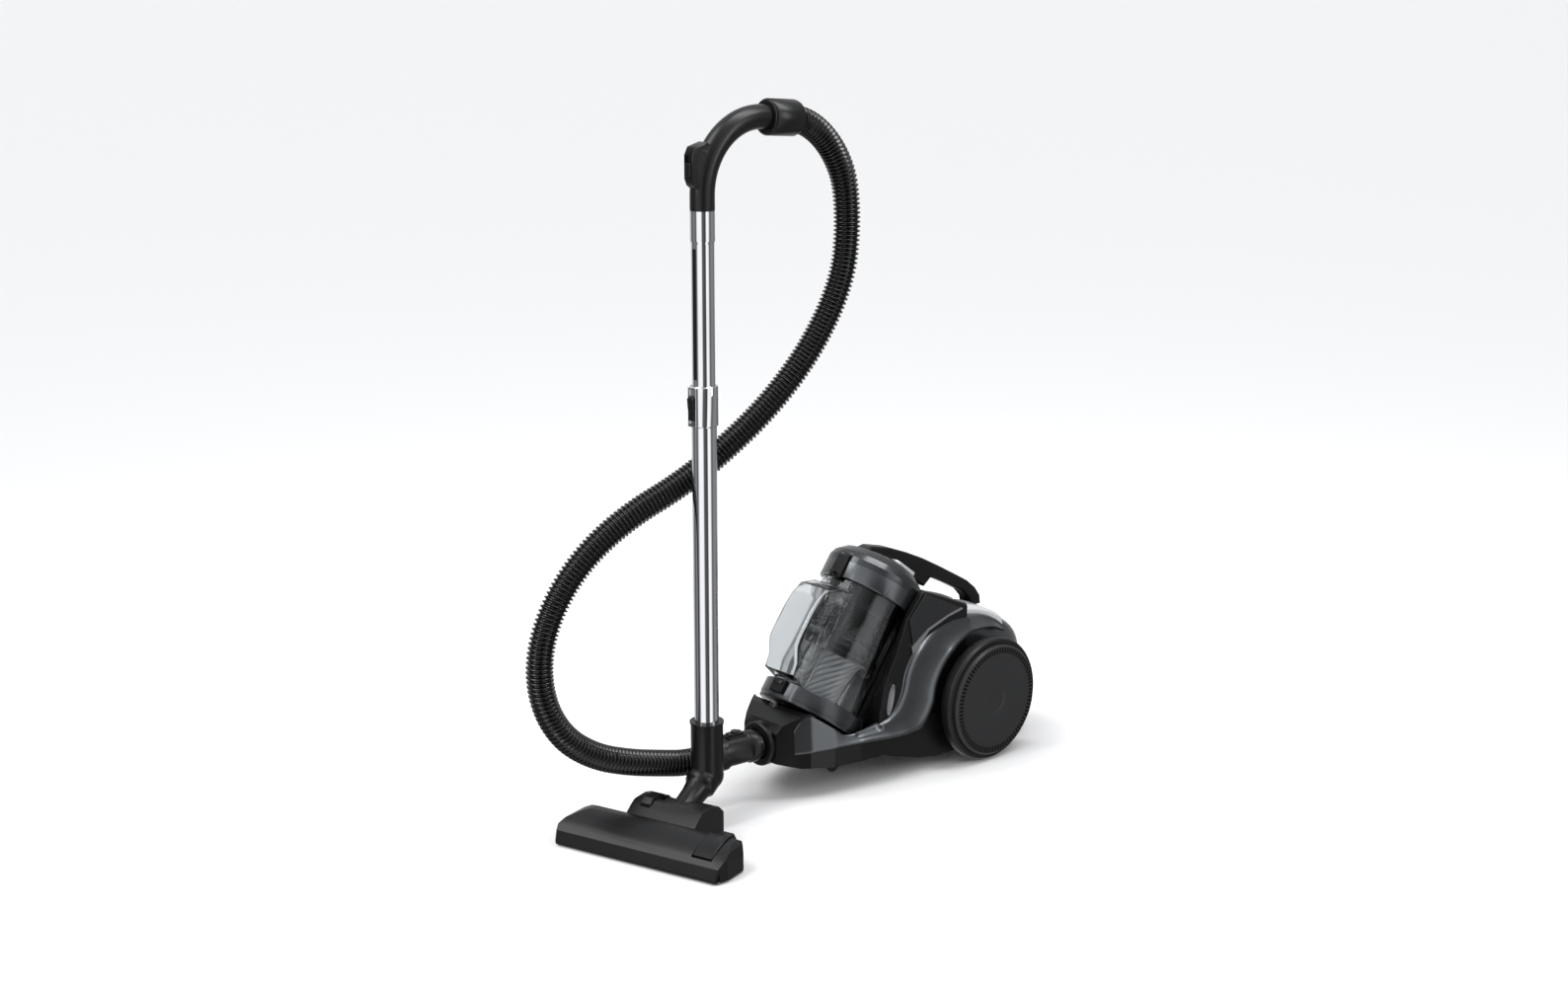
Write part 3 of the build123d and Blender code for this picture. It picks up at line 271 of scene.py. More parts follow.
def surface_group():
    """Moulded-surface detail: a fine grain for the bump and slow drifts of gloss and shade."""
    tree = bpy.data.node_groups.new("moulded_surface", "ShaderNodeTree")
    face = tree.interface
    for label, value in (("Grain Size", 900.0), ("Gloss", 0.4), ("Gloss Drift", 0.08), ("Shade Drift", 0.1)):
        socket = face.new_socket(label, in_out="INPUT", socket_type="NodeSocketFloat")
        socket.default_value = value
    tone = face.new_socket("Tone", in_out="INPUT", socket_type="NodeSocketColor")
    tone.default_value = (0.1, 0.1, 0.1, 1)
    face.new_socket("Colour", in_out="OUTPUT", socket_type="NodeSocketColor")
    face.new_socket("Roughness", in_out="OUTPUT", socket_type="NodeSocketFloat")
    face.new_socket("Height", in_out="OUTPUT", socket_type="NodeSocketFloat")
    nodes, links = tree.nodes, tree.links
    given = nodes.new("NodeGroupInput")
    result = nodes.new("NodeGroupOutput")
    place = nodes.new("ShaderNodeTexCoord")
    grain = nodes.new("ShaderNodeTexNoise")
    grain.inputs["Detail"].default_value = 3
    links.new(place.outputs["Object"], grain.inputs["Vector"])
    links.new(given.outputs["Grain Size"], grain.inputs["Scale"])
    links.new(grain.outputs["Fac"], result.inputs["Height"])
    drift = nodes.new("ShaderNodeTexNoise")
    drift.inputs["Scale"].default_value = 14
    drift.inputs["Detail"].default_value = 6
    links.new(place.outputs["Object"], drift.inputs["Vector"])
    centred = nodes.new("ShaderNodeMath")
    centred.operation = "SUBTRACT"
    centred.inputs[1].default_value = 0.5
    links.new(drift.outputs["Fac"], centred.inputs[0])
    gloss = nodes.new("ShaderNodeMath")
    gloss.operation = "MULTIPLY_ADD"
    links.new(centred.outputs[0], gloss.inputs[0])
    links.new(given.outputs["Gloss Drift"], gloss.inputs[1])
    links.new(given.outputs["Gloss"], gloss.inputs[2])
    links.new(gloss.outputs[0], result.inputs["Roughness"])
    shade = nodes.new("ShaderNodeMath")
    shade.operation = "MULTIPLY_ADD"
    shade.inputs[2].default_value = 1.0
    links.new(centred.outputs[0], shade.inputs[0])
    links.new(given.outputs["Shade Drift"], shade.inputs[1])
    tint = nodes.new("ShaderNodeVectorMath")
    tint.operation = "SCALE"
    links.new(given.outputs["Tone"], tint.inputs[0])
    links.new(shade.outputs[0], tint.inputs["Scale"])
    links.new(tint.outputs["Vector"], result.inputs["Colour"])
    return tree


moulded_surface = surface_group()
SHADE_DRIFT = 0.15
COAT_ROUGHNESS = 0.12
GRAIN_HEIGHT = 0.0004


def finish(name, tone, gloss, metal=0.0, coat=0.0, grain=900.0, depth=0.05, drift=0.1, reflect=0.5):
    """A material with the moulded-surface detail: gloss is roughness, depth the grain's bump strength."""
    material = bpy.data.materials.new(name)
    material.use_nodes = True
    nodes, links = material.node_tree.nodes, material.node_tree.links
    surface = nodes["Principled BSDF"]
    detail = nodes.new("ShaderNodeGroup")
    detail.node_tree = moulded_surface
    detail.inputs["Grain Size"].default_value = grain
    detail.inputs["Gloss"].default_value = gloss
    detail.inputs["Gloss Drift"].default_value = drift
    detail.inputs["Shade Drift"].default_value = SHADE_DRIFT
    detail.inputs["Tone"].default_value = (*tone, 1)
    relief = nodes.new("ShaderNodeBump")
    relief.inputs["Strength"].default_value = depth
    relief.inputs["Distance"].default_value = GRAIN_HEIGHT
    links.new(detail.outputs["Colour"], surface.inputs["Base Color"])
    links.new(detail.outputs["Roughness"], surface.inputs["Roughness"])
    links.new(detail.outputs["Height"], relief.inputs["Height"])
    links.new(relief.outputs["Normal"], surface.inputs["Normal"])
    surface.inputs["Metallic"].default_value = metal
    surface.inputs["Specular IOR Level"].default_value = reflect
    surface.inputs["Coat Weight"].default_value = coat
    surface.inputs["Coat Roughness"].default_value = COAT_ROUGHNESS
    return material


HOSE_TONE = (0.0016, 0.0016, 0.0017)
hose_black = finish("hose_black", HOSE_TONE, 0.16, grain=300, depth=0.006, coat=0.2, reflect=0.36)
hose_mesh.materials.append(hose_black)
hose = bpy.data.objects.new("ribbed_hose", hose_mesh)
scene.collection.objects.link(hose)
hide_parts("hose")
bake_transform(hose)

# ---------------------------------------------------------------------------
# Canister tub and shoulders: two satin black polypropylene mouldings screwed
# together round the motor. The inlet collar, ducts and axles are fixed to them.
# ---------------------------------------------------------------------------
body_of = {node: body for body, names in frame["record"]["behaviour"]["bodies"].items() for node in names}


def faced_with(material, *nodes):
    """Gives parts that keep their drawn shape their finish."""
    for node in nodes:
        mesh = frame["nodes"][node].data
        mesh.materials.clear()
        mesh.materials.append(material)


def placed(mesh, material, body, stands_for=()):
    """Puts a finished mesh in the scene on its body, in the stead of the drawn parts named."""
    if material is not None:
        mesh.materials.clear()
        mesh.materials.append(material)
    piece = bpy.data.objects.new(mesh.name, mesh)
    scene.collection.objects.link(piece)
    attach(piece, body)
    if stands_for:
        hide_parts(*stands_for)
    return piece


SHARP_PAST = 10
MERGE_WITHIN = 2e-6
FLAT_WITHIN = 0.008


def eased(node, width, material, turn=35):
    """A copy of a drawn part whose edges, from turn degrees on, are eased by width."""
    shape = bmesh.new()
    shape.from_mesh(frame["nodes"][node].data)
    bmesh.ops.remove_doubles(shape, verts=shape.verts, dist=MERGE_WITHIN)
    bmesh.ops.dissolve_limit(shape, angle_limit=FLAT_WITHIN, verts=shape.verts, edges=shape.edges)
    mesh = bpy.data.meshes.new(node + "_eased")
    shape.to_mesh(mesh)
    shape.free()
    mesh.shade_smooth()
    mesh.set_sharp_from_angle(angle=math.radians(turn + SHARP_PAST))
    piece = placed(mesh, material, body_of[node], (node,))
    edge = piece.modifiers.new("eased_edges", "BEVEL")
    edge.width = width
    edge.segments = 2
    edge.limit_method = "ANGLE"
    edge.angle_limit = math.radians(turn)
    edge.use_clamp_overlap = True
    edge.harden_normals = True
    return piece


body_black = finish("body_black", (0.0050, 0.0052, 0.0056), 0.30, grain=1400, depth=0.04, reflect=0.30)
eased("chassis_tub", 0.0012, body_black)
eased("shoulder_shell", 0.0012, body_black)
eased("inlet_collar", 0.001, body_black)
faced_with(body_black, "cord_gland", "inlet_duct", "cord_reel")
steel = finish("steel", (0.45, 0.46, 0.47), 0.3, metal=1.0, grain=900, depth=0.04)
faced_with(steel, "stub_axles", "tub_screws")

# ---------------------------------------------------------------------------
# Works: a cast fan case and motor in the cradle, the reel behind them, and a
# pleated exhaust filter behind a slotted grille.
# ---------------------------------------------------------------------------
motor_metal = finish("motor_metal", (0.35, 0.36, 0.37), 0.4, metal=1.0, grain=900, depth=0.06)
faced_with(motor_metal, "fan_case", "motor")
filter_white = finish("filter_white", (0.75, 0.75, 0.72), 0.85, grain=700, depth=0.5)
faced_with(filter_white, "exhaust_filter")

# ---------------------------------------------------------------------------
# Fenders and rear cover: ABS mouldings in gunmetal metallic lacquer. Each
# fender sweeps up from the nose and over its wheel, and rolls into the arch.
# ---------------------------------------------------------------------------
LACQUER = {"coat": 0.3, "grain": 2500, "depth": 0.0006, "drift": 0.04}
gunmetal = finish("gunmetal", (0.105, 0.112, 0.119), 0.28, metal=0.9, **LACQUER)
lid_dark = finish("lid_dark", (0.045, 0.048, 0.052), 0.26, metal=0.7, **LACQUER)
eased("rear_cover", 0.0015, gunmetal)
eased("exhaust_grille", 0.0008, gunmetal)

# Where the body's own side lies, as (y, half width), and the rear cover's sections, as (y, half width, top).
SIDE_LINE = [
    (-386, 38), (-364, 52), (-338, 68), (-300, 83), (-250, 92), (-200, 97), (-130, 100), (60, 100), (110, 96),
]
COVER_LINE = [(-12, 98, 256), (30, 98, 247), (75, 94, 230), (115, 83, 208)]
# How wide the cover still is at a share of its height.
COVER_CURVE = [
    (0.0, 1.0), (0.4, 0.995), (0.72, 0.97), (0.86, 0.915), (0.93, 0.84), (0.975, 0.70), (0.99, 0.5),
]
# How far out the fender's face may reach at a height over the wheel.
FACE_LIMIT = [(200, 112.4), (214, 109.4), (230, 103.4), (246, 96)]
# The fender's upper and lower edges along the nose, paired as (y, z) and (y, z).
BEAM = [
    ((-362, 116), (-362, 76)), ((-352, 132), (-352, 76)), ((-338, 138), (-338, 77)),
    ((-300, 112), (-302, 79)), ((-283, 100), (-283, 80)), ((-259, 99), (-259, 80)),
    ((-230, 102), (-222, 78)), ((-206, 107), (-180, 76)), ((-190, 115), (-155, 77)),
    ((-179, 126), (-126, 82)),
]
# Then its upper edge (y, z) with the bearing of its lower edge on the arch round the axle.
SWEEP = [((-167, 148), 175), ((-158, 180), 160), ((-138, 210), 143), ((-100, 232), 124), ((-56, 243), 106),
         ((-20, 243), 92), ((30, 237), 76), ((61, 224), 62)]
ARCH_REACH = 113.5
AXLE = (11, 104)
# Where the rows of a section lie down its face, and how far the lip's rows roll inward.
FACE_SHARES = (0, 0.03, 0.1, 0.2, 0.32, 0.44, 0.56, 0.68, 0.80, 0.90)
LIP_ROLL = ((0.35, -0.1), (0.6, 0.25), (0.82, 1.0), (0.95, 2.0), (1.0, 3.4))


def between(table, value):
    """Straight-line reading of a table of (key, number...) rows."""
    for near, far in zip(table, table[1:]):
        if value <= far[0]:
            share = max(0, (value - near[0]) / (far[0] - near[0]))
            return [a + (b - a) * share for a, b in zip(near[1:], far[1:])]
    return list(table[-1][1:])


def side_of_body(y, z):
    """How far out the body reaches at a place on its side."""
    if y < -262 or z < 94:
        return between(SIDE_LINE, y)[0] + 0.2
    if y < -214:
        return 88.0
    if y < -12:
        return 97.3
    if z < 180:
        return 100.3
    half, top = between(COVER_LINE, y)
    return max(84.0, half * between(COVER_CURVE, (z - 94) / (top - 94))[0] + 0.5)


def smooth_run(points, steps):
    """Points on a smooth line through the given ones."""
    run = []
    padded = [points[0]] + list(points) + [points[-1]]
    for a, b, c, d in zip(padded, padded[1:], padded[2:], padded[3:]):
        for k in range(steps):
            t = k / steps
            point = []
            for p, q, r, u in zip(a, b, c, d):
                bend, twist = 2 * p - 5 * q + 4 * r - u, 3 * q - p - 3 * r + u
                point.append(0.5 * (2 * q + (r - p) * t + bend * t ** 2 + twist * t ** 3))
            run.append(tuple(point))
    return run + [tuple(float(v) for v in points[-1])]


def fender(side):
    """One fender, side 1 on the left and -1 on the right, as a closed skin with a rolled lower lip."""
    edges = [(*upper, *lower) for upper, lower in BEAM]
    for upper, degrees in SWEEP:
        edges.append((*upper, AXLE[0] + ARCH_REACH * math.cos(math.radians(degrees)),
                      AXLE[1] + ARCH_REACH * math.sin(math.radians(degrees))))
    sections = []
    for y_up, z_up, y_low, z_low in smooth_run(edges, 8):
        span = math.hypot(y_low - y_up, z_low - z_up)
        lip = min(5.0, span * 0.22)
        rows = []
        for share in FACE_SHARES:
            along = share * (1 - lip / span)
            y, z = y_up + (y_low - y_up) * along, z_up + (z_low - z_up) * along
            body = side_of_body(y, z)
            stand = 3 + 8.8 * min(1, max(0, (y + 300) / 130))
            outer = min(between(SIDE_LINE, y)[0] + stand, between(FACE_LIMIT, z)[0])
            swell = 0.42 * min(1, share / 0.12) ** 0.6 + 0.58 * share ** 2.4
            rows.append((body + max(0.3, (outer - body) * swell), y, z, body))
        last_x, last_y, last_z, body = rows[-1]
        toward_y, toward_z = y_low - last_y, z_low - last_z
        outer = max(outer, last_x)
        for share, fall in LIP_ROLL:
            rows.append((outer - fall * lip / 5, last_y + toward_y * share, last_z + toward_z * share, body))
        inner_top = (rows[0][3] - 0.1, y_up, z_up)
        inner_low = (side_of_body(y_low, z_low) - 0.1, y_low, z_low)
        sections.append([inner_top] + [row[:3] for row in rows] + [inner_low])
    shape = bmesh.new()
    loops = [[shape.verts.new(at(side * x, y, z)) for x, y, z in section] for section in sections]
    for near, far in zip(loops, loops[1:]):
        for k in range(len(near)):
            after = (k + 1) % len(near)
            shape.faces.new((near[k], near[after], far[after], far[k]))
    shape.faces.new(list(reversed(loops[0])))
    shape.faces.new(loops[-1])
    bmesh.ops.recalc_face_normals(shape, faces=shape.faces)
    name = "fender_left" if side > 0 else "fender_right"
    mesh = bpy.data.meshes.new(name + "_skin")
    shape.to_mesh(mesh)
    shape.free()
    mesh.shade_smooth()
    mesh.set_sharp_from_angle(angle=math.radians(55))
    placed(mesh, gunmetal, "canister", (name,))


fender(1)
fender(-1)

# ---------------------------------------------------------------------------
# Side panels and trims: fine-grained dark panels with a thin plated line
# along their lower edge, and a plated oval below them, clipped to the side.
# ---------------------------------------------------------------------------
panel_black = finish("panel_black", (0.013, 0.0135, 0.0145), 0.42, grain=1600, depth=0.06, reflect=0.35)
eased("side_panel_left", 0.0006, panel_black)
eased("side_panel_right", 0.0006, panel_black)
bright_trim = finish("bright_trim", (0.62, 0.63, 0.65), 0.14, metal=1.0, grain=500, depth=0.01, drift=0.04)
faced_with(bright_trim, "side_trim_left", "side_trim_right")

# ---------------------------------------------------------------------------
# Rear wheels: satin black discs with a ring of short slots round the face, filled
# with painted shade, and a shallow dish at the hub, in a soft tyre band. The caster is the same.
# ---------------------------------------------------------------------------
wheel_black = finish("wheel_black", (0.017, 0.0174, 0.0185), 0.42, grain=1500, depth=0.05, reflect=0.35)
tyre_black = finish("tyre_black", (0.005, 0.005, 0.0055), 0.42, grain=1800, depth=0.08, reflect=0.35)
eased("rim_left", 0.0004, wheel_black, turn=10)
eased("rim_right", 0.0004, wheel_black, turn=10)
eased("tyre_left", 0.0012, tyre_black)
eased("tyre_right", 0.0012, tyre_black)
# Painted shade: a near-black finish that stands for the shade inside the wheel slots and the shroud's holes.
painted_shade_dark = finish("painted_shade_dark", (0.0012, 0.0012, 0.0013), 0.8, grain=900, depth=0.02, reflect=0.1)


def block_ring():
    """Small blocks set round a circle, pointing outward: named sizes in, one mesh out."""
    tree = bpy.data.node_groups.new("ring_of_blocks", "GeometryNodeTree")
    tree.is_modifier = True
    face = tree.interface
    face.new_socket("Geometry", in_out="INPUT", socket_type="NodeSocketGeometry")
    face.new_socket("Geometry", in_out="OUTPUT", socket_type="NodeSocketGeometry")
    for label, kind in (("Ring Radius", "Float"), ("Count", "Int"), ("Length", "Float"),
                        ("Width", "Float"), ("Thickness", "Float"), ("Material", "Material")):
        face.new_socket(label, in_out="INPUT", socket_type="NodeSocket" + kind)
    nodes, links = tree.nodes, tree.links
    given = nodes.new("NodeGroupInput")
    result = nodes.new("NodeGroupOutput")
    around = nodes.new("GeometryNodeMeshCircle")
    links.new(given.outputs["Count"], around.inputs["Vertices"])
    links.new(given.outputs["Ring Radius"], around.inputs["Radius"])
    place = nodes.new("GeometryNodeInputPosition")
    outward = nodes.new("FunctionNodeAlignRotationToVector")
    outward.axis = "X"
    links.new(place.outputs["Position"], outward.inputs["Vector"])
    size = nodes.new("ShaderNodeCombineXYZ")
    for label, axis in (("Length", "X"), ("Width", "Y"), ("Thickness", "Z")):
        links.new(given.outputs[label], size.inputs[axis])
    block = nodes.new("GeometryNodeMeshCube")
    links.new(size.outputs["Vector"], block.inputs["Size"])
    spread = nodes.new("GeometryNodeInstanceOnPoints")
    links.new(around.outputs["Mesh"], spread.inputs["Points"])
    links.new(block.outputs["Mesh"], spread.inputs["Instance"])
    links.new(outward.outputs["Rotation"], spread.inputs["Rotation"])
    real = nodes.new("GeometryNodeRealizeInstances")
    links.new(spread.outputs["Instances"], real.inputs["Geometry"])
    coat = nodes.new("GeometryNodeSetMaterial")
    links.new(real.outputs["Geometry"], coat.inputs["Geometry"])
    links.new(given.outputs["Material"], coat.inputs["Material"])
    links.new(coat.outputs["Geometry"], result.inputs["Geometry"])
    return tree


def grown(name, tree, sizes, matrix):
    """The plain mesh that a node tree makes with the given sizes, put in place by matrix."""
    holder = bpy.data.objects.new(name, bpy.data.meshes.new(name + "_seed"))
    scene.collection.objects.link(holder)
    maker = holder.modifiers.new(name, "NODES")
    maker.node_group = tree
    for item in tree.interface.items_tree:
        if item.in_out == "INPUT" and item.name in sizes:
            maker[item.identifier] = sizes[item.name]
    bpy.context.view_layer.update()
    mesh = bpy.data.meshes.new_from_object(holder.evaluated_get(bpy.context.evaluated_depsgraph_get()))
    bpy.data.objects.remove(holder)
    mesh.name = name
    mesh.transform(matrix)
    return mesh


slot_ring = block_ring()
FACE_OUT = 144.98
slot_sizes = {
    "Ring Radius": 85.0, "Count": 84, "Length": 9.6, "Width": 3.4, "Thickness": 0.1, "Material": painted_shade_dark,
}
# Each wheel face gets a ring of thin blocks of painted shade, one lying in each slot.
for side, wheel in ((1, "wheel_left"), (-1, "wheel_right")):
    hub = Matrix.Translation(at(side * FACE_OUT, *AXLE))
    hub = hub @ Matrix.Rotation(math.pi / 2, 4, "Y") @ Matrix.Scale(0.001, 4)
    placed(grown(wheel + "_slots", slot_ring, slot_sizes, hub), None, wheel)
faced_with(wheel_black, "caster_fork")
faced_with(tyre_black, "caster_wheel")

# ---------------------------------------------------------------------------
# Foot pedals: two pearl-silver keys let into the rear cover, one switches the
# motor and one winds the cord in.
# ---------------------------------------------------------------------------
pearl_silver = finish("pearl_silver", (0.70, 0.71, 0.72), 0.22, metal=0.3, coat=0.8, grain=5000, depth=0.02)
eased("pedal_power", 0.0015, pearl_silver)
eased("pedal_rewind", 0.0015, pearl_silver)

# ---------------------------------------------------------------------------
# Dust bin: a clear polycarbonate cup with a hollow grip on its front, closed
# below by a hinged door in a lacquered ring that a black latch holds shut.
# ---------------------------------------------------------------------------
BIN_TILT = math.radians(36.5)
BIN_PLACE = (0, -287, 108)
# Millimetres along the bin's own leaning axis, as the frame's metres.
BIN_FRAME = Matrix.Translation(at(*BIN_PLACE)) @ Matrix.Rotation(-BIN_TILT, 4, "X") @ Matrix.Scale(0.001, 4)

clear_bin = bpy.data.materials.new("clear_bin")
clear_bin.use_nodes = True
clear_surface = clear_bin.node_tree.nodes["Principled BSDF"]
clear_surface.inputs["Base Color"].default_value = (0.74, 0.755, 0.765, 1)
clear_surface.inputs["Roughness"].default_value = 0.02
clear_surface.inputs["Transmission Weight"].default_value = 1.0
clear_surface.inputs["IOR"].default_value = 1.38
haze = clear_bin.node_tree.nodes.new("ShaderNodeTexNoise")
haze.inputs["Scale"].default_value = 22
haze_place = clear_bin.node_tree.nodes.new("ShaderNodeTexCoord")
haze_relief = clear_bin.node_tree.nodes.new("ShaderNodeBump")
haze_relief.inputs["Strength"].default_value = 0.015
haze_relief.inputs["Distance"].default_value = 0.001
clear_bin.node_tree.links.new(haze_place.outputs["Object"], haze.inputs["Vector"])
clear_bin.node_tree.links.new(haze.outputs["Fac"], haze_relief.inputs["Height"])
clear_bin.node_tree.links.new(haze_relief.outputs["Normal"], clear_surface.inputs["Normal"])
eased("bin_cup", 0.0006, clear_bin)
eased("bin_ring", 0.0014, lid_dark)
eased("bin_door", 0.0012, lid_dark)
eased("door_latch", 0.0012, body_black)

# ---------------------------------------------------------------------------
# Cone and riser: a light grey moulding inside the bin with broad bands that wind
# round it between narrow grooves, and the pipe that brings the air up beside it.
# ---------------------------------------------------------------------------
cone_grey = finish("cone_grey", (0.55, 0.56, 0.57), 0.26, grain=1200, depth=0.04, coat=0.4)
CONE_BANDS = 18
CONE_TURN = math.radians(200)
TURN_HEIGHT = 120
CONE_LEVELS = 62
BAND_RISE, GROOVE_DEPTH = 1.6, 5.2
# The cone's outline, as (height, radius).
CONE_LINE = [(8.2, 33.6), (60, 33.6), (80, 36.2), (100, 39.6), (113, 47), (126, 58.4), (130.8, 58.4)]
# The riser's place across and rearward, and the radius kept clear round it.
RISER = (-12, -56, 15.2)


def cone_reach(height):
    """The cone's radius at a height above the bin's floor."""
    for (low, near), (high, far) in zip(CONE_LINE, CONE_LINE[1:]):
        if height <= high:
            return near + (far - near) * (height - low) / (high - low)
    return CONE_LINE[-1][1]


cone_shape = bmesh.new()
cone_rings = []
CONE_FOOT, CONE_TOP = CONE_LINE[0][0], CONE_LINE[-1][0]
AROUND = CONE_BANDS * 12
for level in range(CONE_LEVELS):
    height = CONE_FOOT + (CONE_TOP - CONE_FOOT) * level / (CONE_LEVELS - 1)
    lift = min(1, max(0, (height - 14) / 8)) * min(1, max(0, (122 - height) / 8))
    ring = []
    for k in range(AROUND):
        turn = 2 * math.pi * k / AROUND
        phase = (turn - CONE_TURN * height / TURN_HEIGHT) * CONE_BANDS / (2 * math.pi) % 1
        groove = max(0, 1 - abs(phase - 0.5) * 6.0)
        reach = cone_reach(height) + (BAND_RISE - GROOVE_DEPTH * groove) * lift
        x, r = reach * math.cos(turn), reach * math.sin(turn)
        off_x, off_r = x - RISER[0], r - RISER[1]
        gap = math.hypot(off_x, off_r)
        if gap < RISER[2]:
            x, r = RISER[0] + off_x * RISER[2] / gap, RISER[1] + off_r * RISER[2] / gap
        ring.append(cone_shape.verts.new((x, r, height)))
    cone_rings.append(ring)
for lower, upper in zip(cone_rings, cone_rings[1:]):
    for k in range(AROUND):
        cone_shape.faces.new((lower[k], lower[(k + 1) % AROUND], upper[(k + 1) % AROUND], upper[k]))
for ring, height in ((cone_rings[0], CONE_FOOT), (cone_rings[-1], CONE_TOP)):
    hub = cone_shape.verts.new((0, 0, height))
    for k in range(AROUND):
        cone_shape.faces.new((ring[k], ring[(k + 1) % AROUND], hub))
bmesh.ops.recalc_face_normals(cone_shape, faces=cone_shape.faces)
cone_mesh = bpy.data.meshes.new("ribbed_cone")
cone_shape.to_mesh(cone_mesh)
cone_shape.free()
cone_mesh.shade_smooth()
cone_mesh.set_sharp_from_angle(angle=math.radians(60))
cone_mesh.transform(BIN_FRAME)
placed(cone_mesh, cone_grey, "bin", ("cone",))
faced_with(cone_grey, "inlet_riser")

# ---------------------------------------------------------------------------
# Shroud: a glossy smoke-black sleeve, ringed near its top and pierced all
# round with fine holes, that screens the air on its way up to the filter.
# The holes are small discs of painted shade standing proud of the sleeve.
# ---------------------------------------------------------------------------
smoke_black = finish("smoke_black", (0.004, 0.004, 0.0045), 0.10, coat=0.9, grain=700, depth=0.01)


def lathed(name, outline, sides, frame_matrix):
    """A closed (radius, height) outline turned about the axis of frame_matrix."""
    shape = bmesh.new()
    rings = [[shape.verts.new((radius * math.cos(turn), radius * math.sin(turn), height))
              for turn in (2 * math.pi * k / sides for k in range(sides))] for radius, height in outline]
    for near, far in zip(rings, rings[1:] + rings[:1]):
        for k in range(sides):
            shape.faces.new((near[k], near[(k + 1) % sides], far[(k + 1) % sides], far[k]))
    bmesh.ops.recalc_face_normals(shape, faces=shape.faces)
    mesh = bpy.data.meshes.new(name)
    shape.to_mesh(mesh)
    shape.free()
    mesh.shade_smooth()
    mesh.set_sharp_from_angle(angle=math.radians(50))
    mesh.transform(frame_matrix)
    return mesh


SLEEVE_RINGS, RING_PITCH, FIRST_RING = 6, 6.5, 194
shroud_line = [(61.5, 132.2), (63.2, 132.2), (64.0, 133.0), (64.0, 192)]
for ring in range(SLEEVE_RINGS):
    foot = FIRST_RING + ring * RING_PITCH
    shroud_line += [(64.0, foot), (66.6, foot + 1.4), (66.6, foot + 3.4), (64.0, foot + 4.8)]
shroud_line += [(64.0, 240.5), (73.0, 240.8), (73.0, 249.4), (61.5, 249.4)]
placed(lathed("shroud_sleeve", shroud_line, 96, BIN_FRAME), smoke_black, "bin", ("shroud",))
eased("shroud_skirt", 0.0008, smoke_black)


def pierced_ring():
    """Rows of small round discs of painted shade on a sleeve, standing for its holes: named sizes in, one
    mesh out.
    """
    tree = bpy.data.node_groups.new("sleeve_hole_shade", "GeometryNodeTree")
    tree.is_modifier = True
    face = tree.interface
    face.new_socket("Geometry", in_out="INPUT", socket_type="NodeSocketGeometry")
    face.new_socket("Geometry", in_out="OUTPUT", socket_type="NodeSocketGeometry")
    for label, kind in (("Sleeve Radius", "Float"), ("Rows", "Int"), ("Holes Round", "Int"),
                        ("Low", "Float"), ("High", "Float"), ("Hole Radius", "Float")):
        face.new_socket(label, in_out="INPUT", socket_type="NodeSocket" + kind)
    nodes, links = tree.nodes, tree.links
    given = nodes.new("NodeGroupInput")
    result = nodes.new("NodeGroupOutput")
    around = nodes.new("GeometryNodeMeshCircle")
    links.new(given.outputs["Holes Round"], around.inputs["Vertices"])
    links.new(given.outputs["Sleeve Radius"], around.inputs["Radius"])
    rows = nodes.new("GeometryNodeMeshLine")
    rows.mode = "END_POINTS"
    foot = nodes.new("ShaderNodeCombineXYZ")
    top = nodes.new("ShaderNodeCombineXYZ")
    links.new(given.outputs["Low"], foot.inputs["Z"])
    links.new(given.outputs["High"], top.inputs["Z"])
    links.new(given.outputs["Rows"], rows.inputs["Count"])
    links.new(foot.outputs["Vector"], rows.inputs["Start Location"])
    links.new(top.outputs["Vector"], rows.inputs["Offset"])
    stack = nodes.new("GeometryNodeInstanceOnPoints")
    links.new(rows.outputs["Mesh"], stack.inputs["Points"])
    links.new(around.outputs["Mesh"], stack.inputs["Instance"])
    spots = nodes.new("GeometryNodeRealizeInstances")
    links.new(stack.outputs["Instances"], spots.inputs["Geometry"])
    place = nodes.new("GeometryNodeInputPosition")
    flat = nodes.new("ShaderNodeVectorMath")
    flat.operation = "MULTIPLY"
    flat.inputs[1].default_value = (1, 1, 0)
    links.new(place.outputs["Position"], flat.inputs[0])
    outward = nodes.new("FunctionNodeAlignRotationToVector")
    outward.axis = "Z"
    links.new(flat.outputs["Vector"], outward.inputs["Vector"])
    hole = nodes.new("GeometryNodeMeshCylinder")
    hole.fill_type = "NGON"
    hole.inputs["Vertices"].default_value = 6
    hole.inputs["Depth"].default_value = 0.36
    links.new(given.outputs["Hole Radius"], hole.inputs["Radius"])
    pierce = nodes.new("GeometryNodeInstanceOnPoints")
    links.new(spots.outputs["Geometry"], pierce.inputs["Points"])
    links.new(hole.outputs["Mesh"], pierce.inputs["Instance"])
    links.new(outward.outputs["Rotation"], pierce.inputs["Rotation"])
    real = nodes.new("GeometryNodeRealizeInstances")
    links.new(pierce.outputs["Instances"], real.inputs["Geometry"])
    coat = nodes.new("GeometryNodeSetMaterial")
    coat.inputs["Material"].default_value = painted_shade_dark
    links.new(real.outputs["Geometry"], coat.inputs["Geometry"])
    links.new(coat.outputs["Geometry"], result.inputs["Geometry"])
    return tree


# The shroud's holes: small discs of painted shade set just proud of the sleeve.
hole_sizes = {
    "Sleeve Radius": 64.05, "Rows": 13, "Holes Round": 110, "Low": 139.0, "High": 187.0, "Hole Radius": 1.1,
}
placed(grown("shroud_hole_shade", pierced_ring(), hole_sizes, BIN_FRAME), None, "bin")

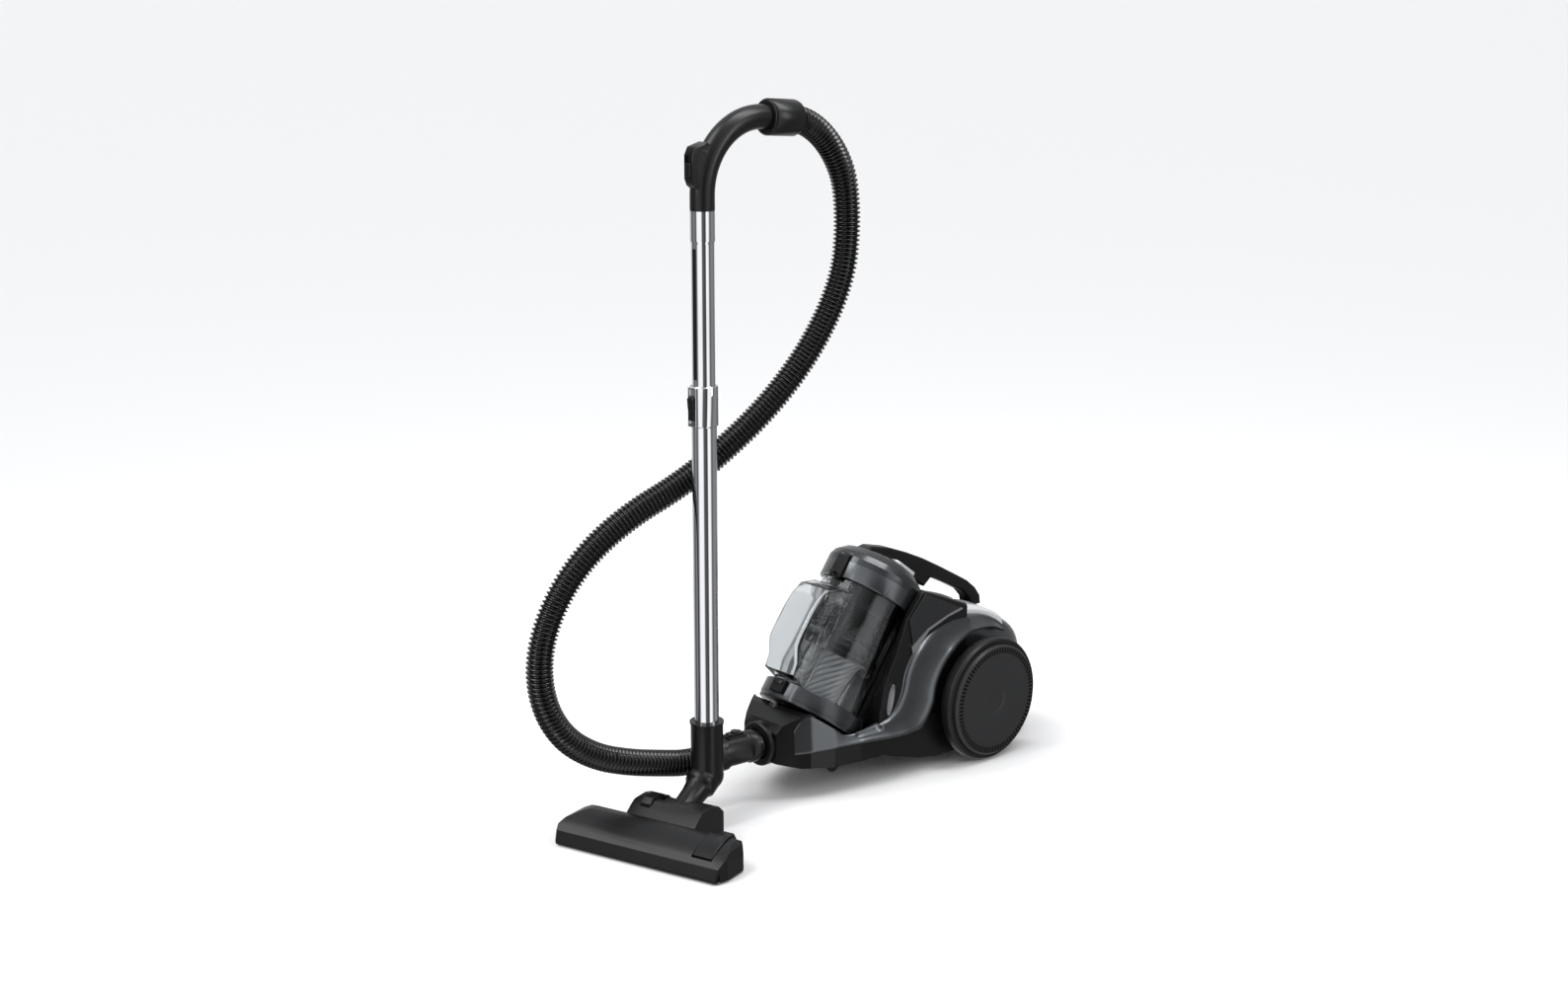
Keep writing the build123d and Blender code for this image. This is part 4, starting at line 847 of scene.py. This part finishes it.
# ---------------------------------------------------------------------------
# Lid and carry handle: a lacquered lid in its ring, a black latch at the
# front, and a long satin black handle with a pearl release key on top.
# ---------------------------------------------------------------------------
eased("lid_ring", 0.0014, gunmetal)
eased("lid", 0.0025, lid_dark, turn=20)
eased("lid_latch", 0.0012, body_black)
eased("handle_button", 0.0015, pearl_silver)
eased("carry_handle", 0.003, body_black)

# ---------------------------------------------------------------------------
# Hose connector: a black bayonet end with a clip, pushed into the collar, and
# the collar that lets the hose turn.
# ---------------------------------------------------------------------------
eased("connector", 0.0012, body_black)
eased("connector_clip", 0.001, body_black)
eased("hose_end_collar", 0.001, body_black)

# ---------------------------------------------------------------------------
# Telescopic wand: two chromed steel tubes, the upper sliding in the lower,
# with a notched strip and a slide that locks the length.
# ---------------------------------------------------------------------------
chrome_tube = finish("chrome_tube", (0.72, 0.73, 0.75), 0.07, metal=1.0, grain=120, depth=0.01, drift=0.04)
faced_with(chrome_tube, "lower_tube", "upper_tube")
eased("tube_collar", 0.0012, chrome_tube)
eased("notch_strip", 0.0003, body_black)
eased("release_slider", 0.0012, body_black)

# ---------------------------------------------------------------------------
# Handle: a bent satin black grip with a sliding suction valve on its front,
# ending in a collar in which the hose turns.
# ---------------------------------------------------------------------------
eased("handle_grip", 0.0015, body_black)
eased("suction_valve", 0.0008, body_black)
eased("hose_cuff", 0.002, body_black)

# ---------------------------------------------------------------------------
# Elbow and floor head: a black elbow swivels on the neck of a wide head with
# a rocker pedal that drops two rows of bristles on either side of its mouth.
# ---------------------------------------------------------------------------
eased("elbow_cuff", 0.0012, body_black)
eased("neck", 0.001, body_black)
head_black = finish("head_black", (0.0065, 0.0067, 0.0072), 0.36, grain=1400, depth=0.04, reflect=0.28)
eased("head_shell", 0.0025, head_black, turn=20)
eased("pedal_front", 0.0015, body_black)
eased("pedal_small", 0.0012, body_black)
faced_with(wheel_black, "head_wheels")
faced_with(steel, "sole_plate")
bristle = finish("bristle", (0.01, 0.01, 0.011), 0.8, grain=2600, depth=0.6)
faced_with(bristle, "brush_strips")
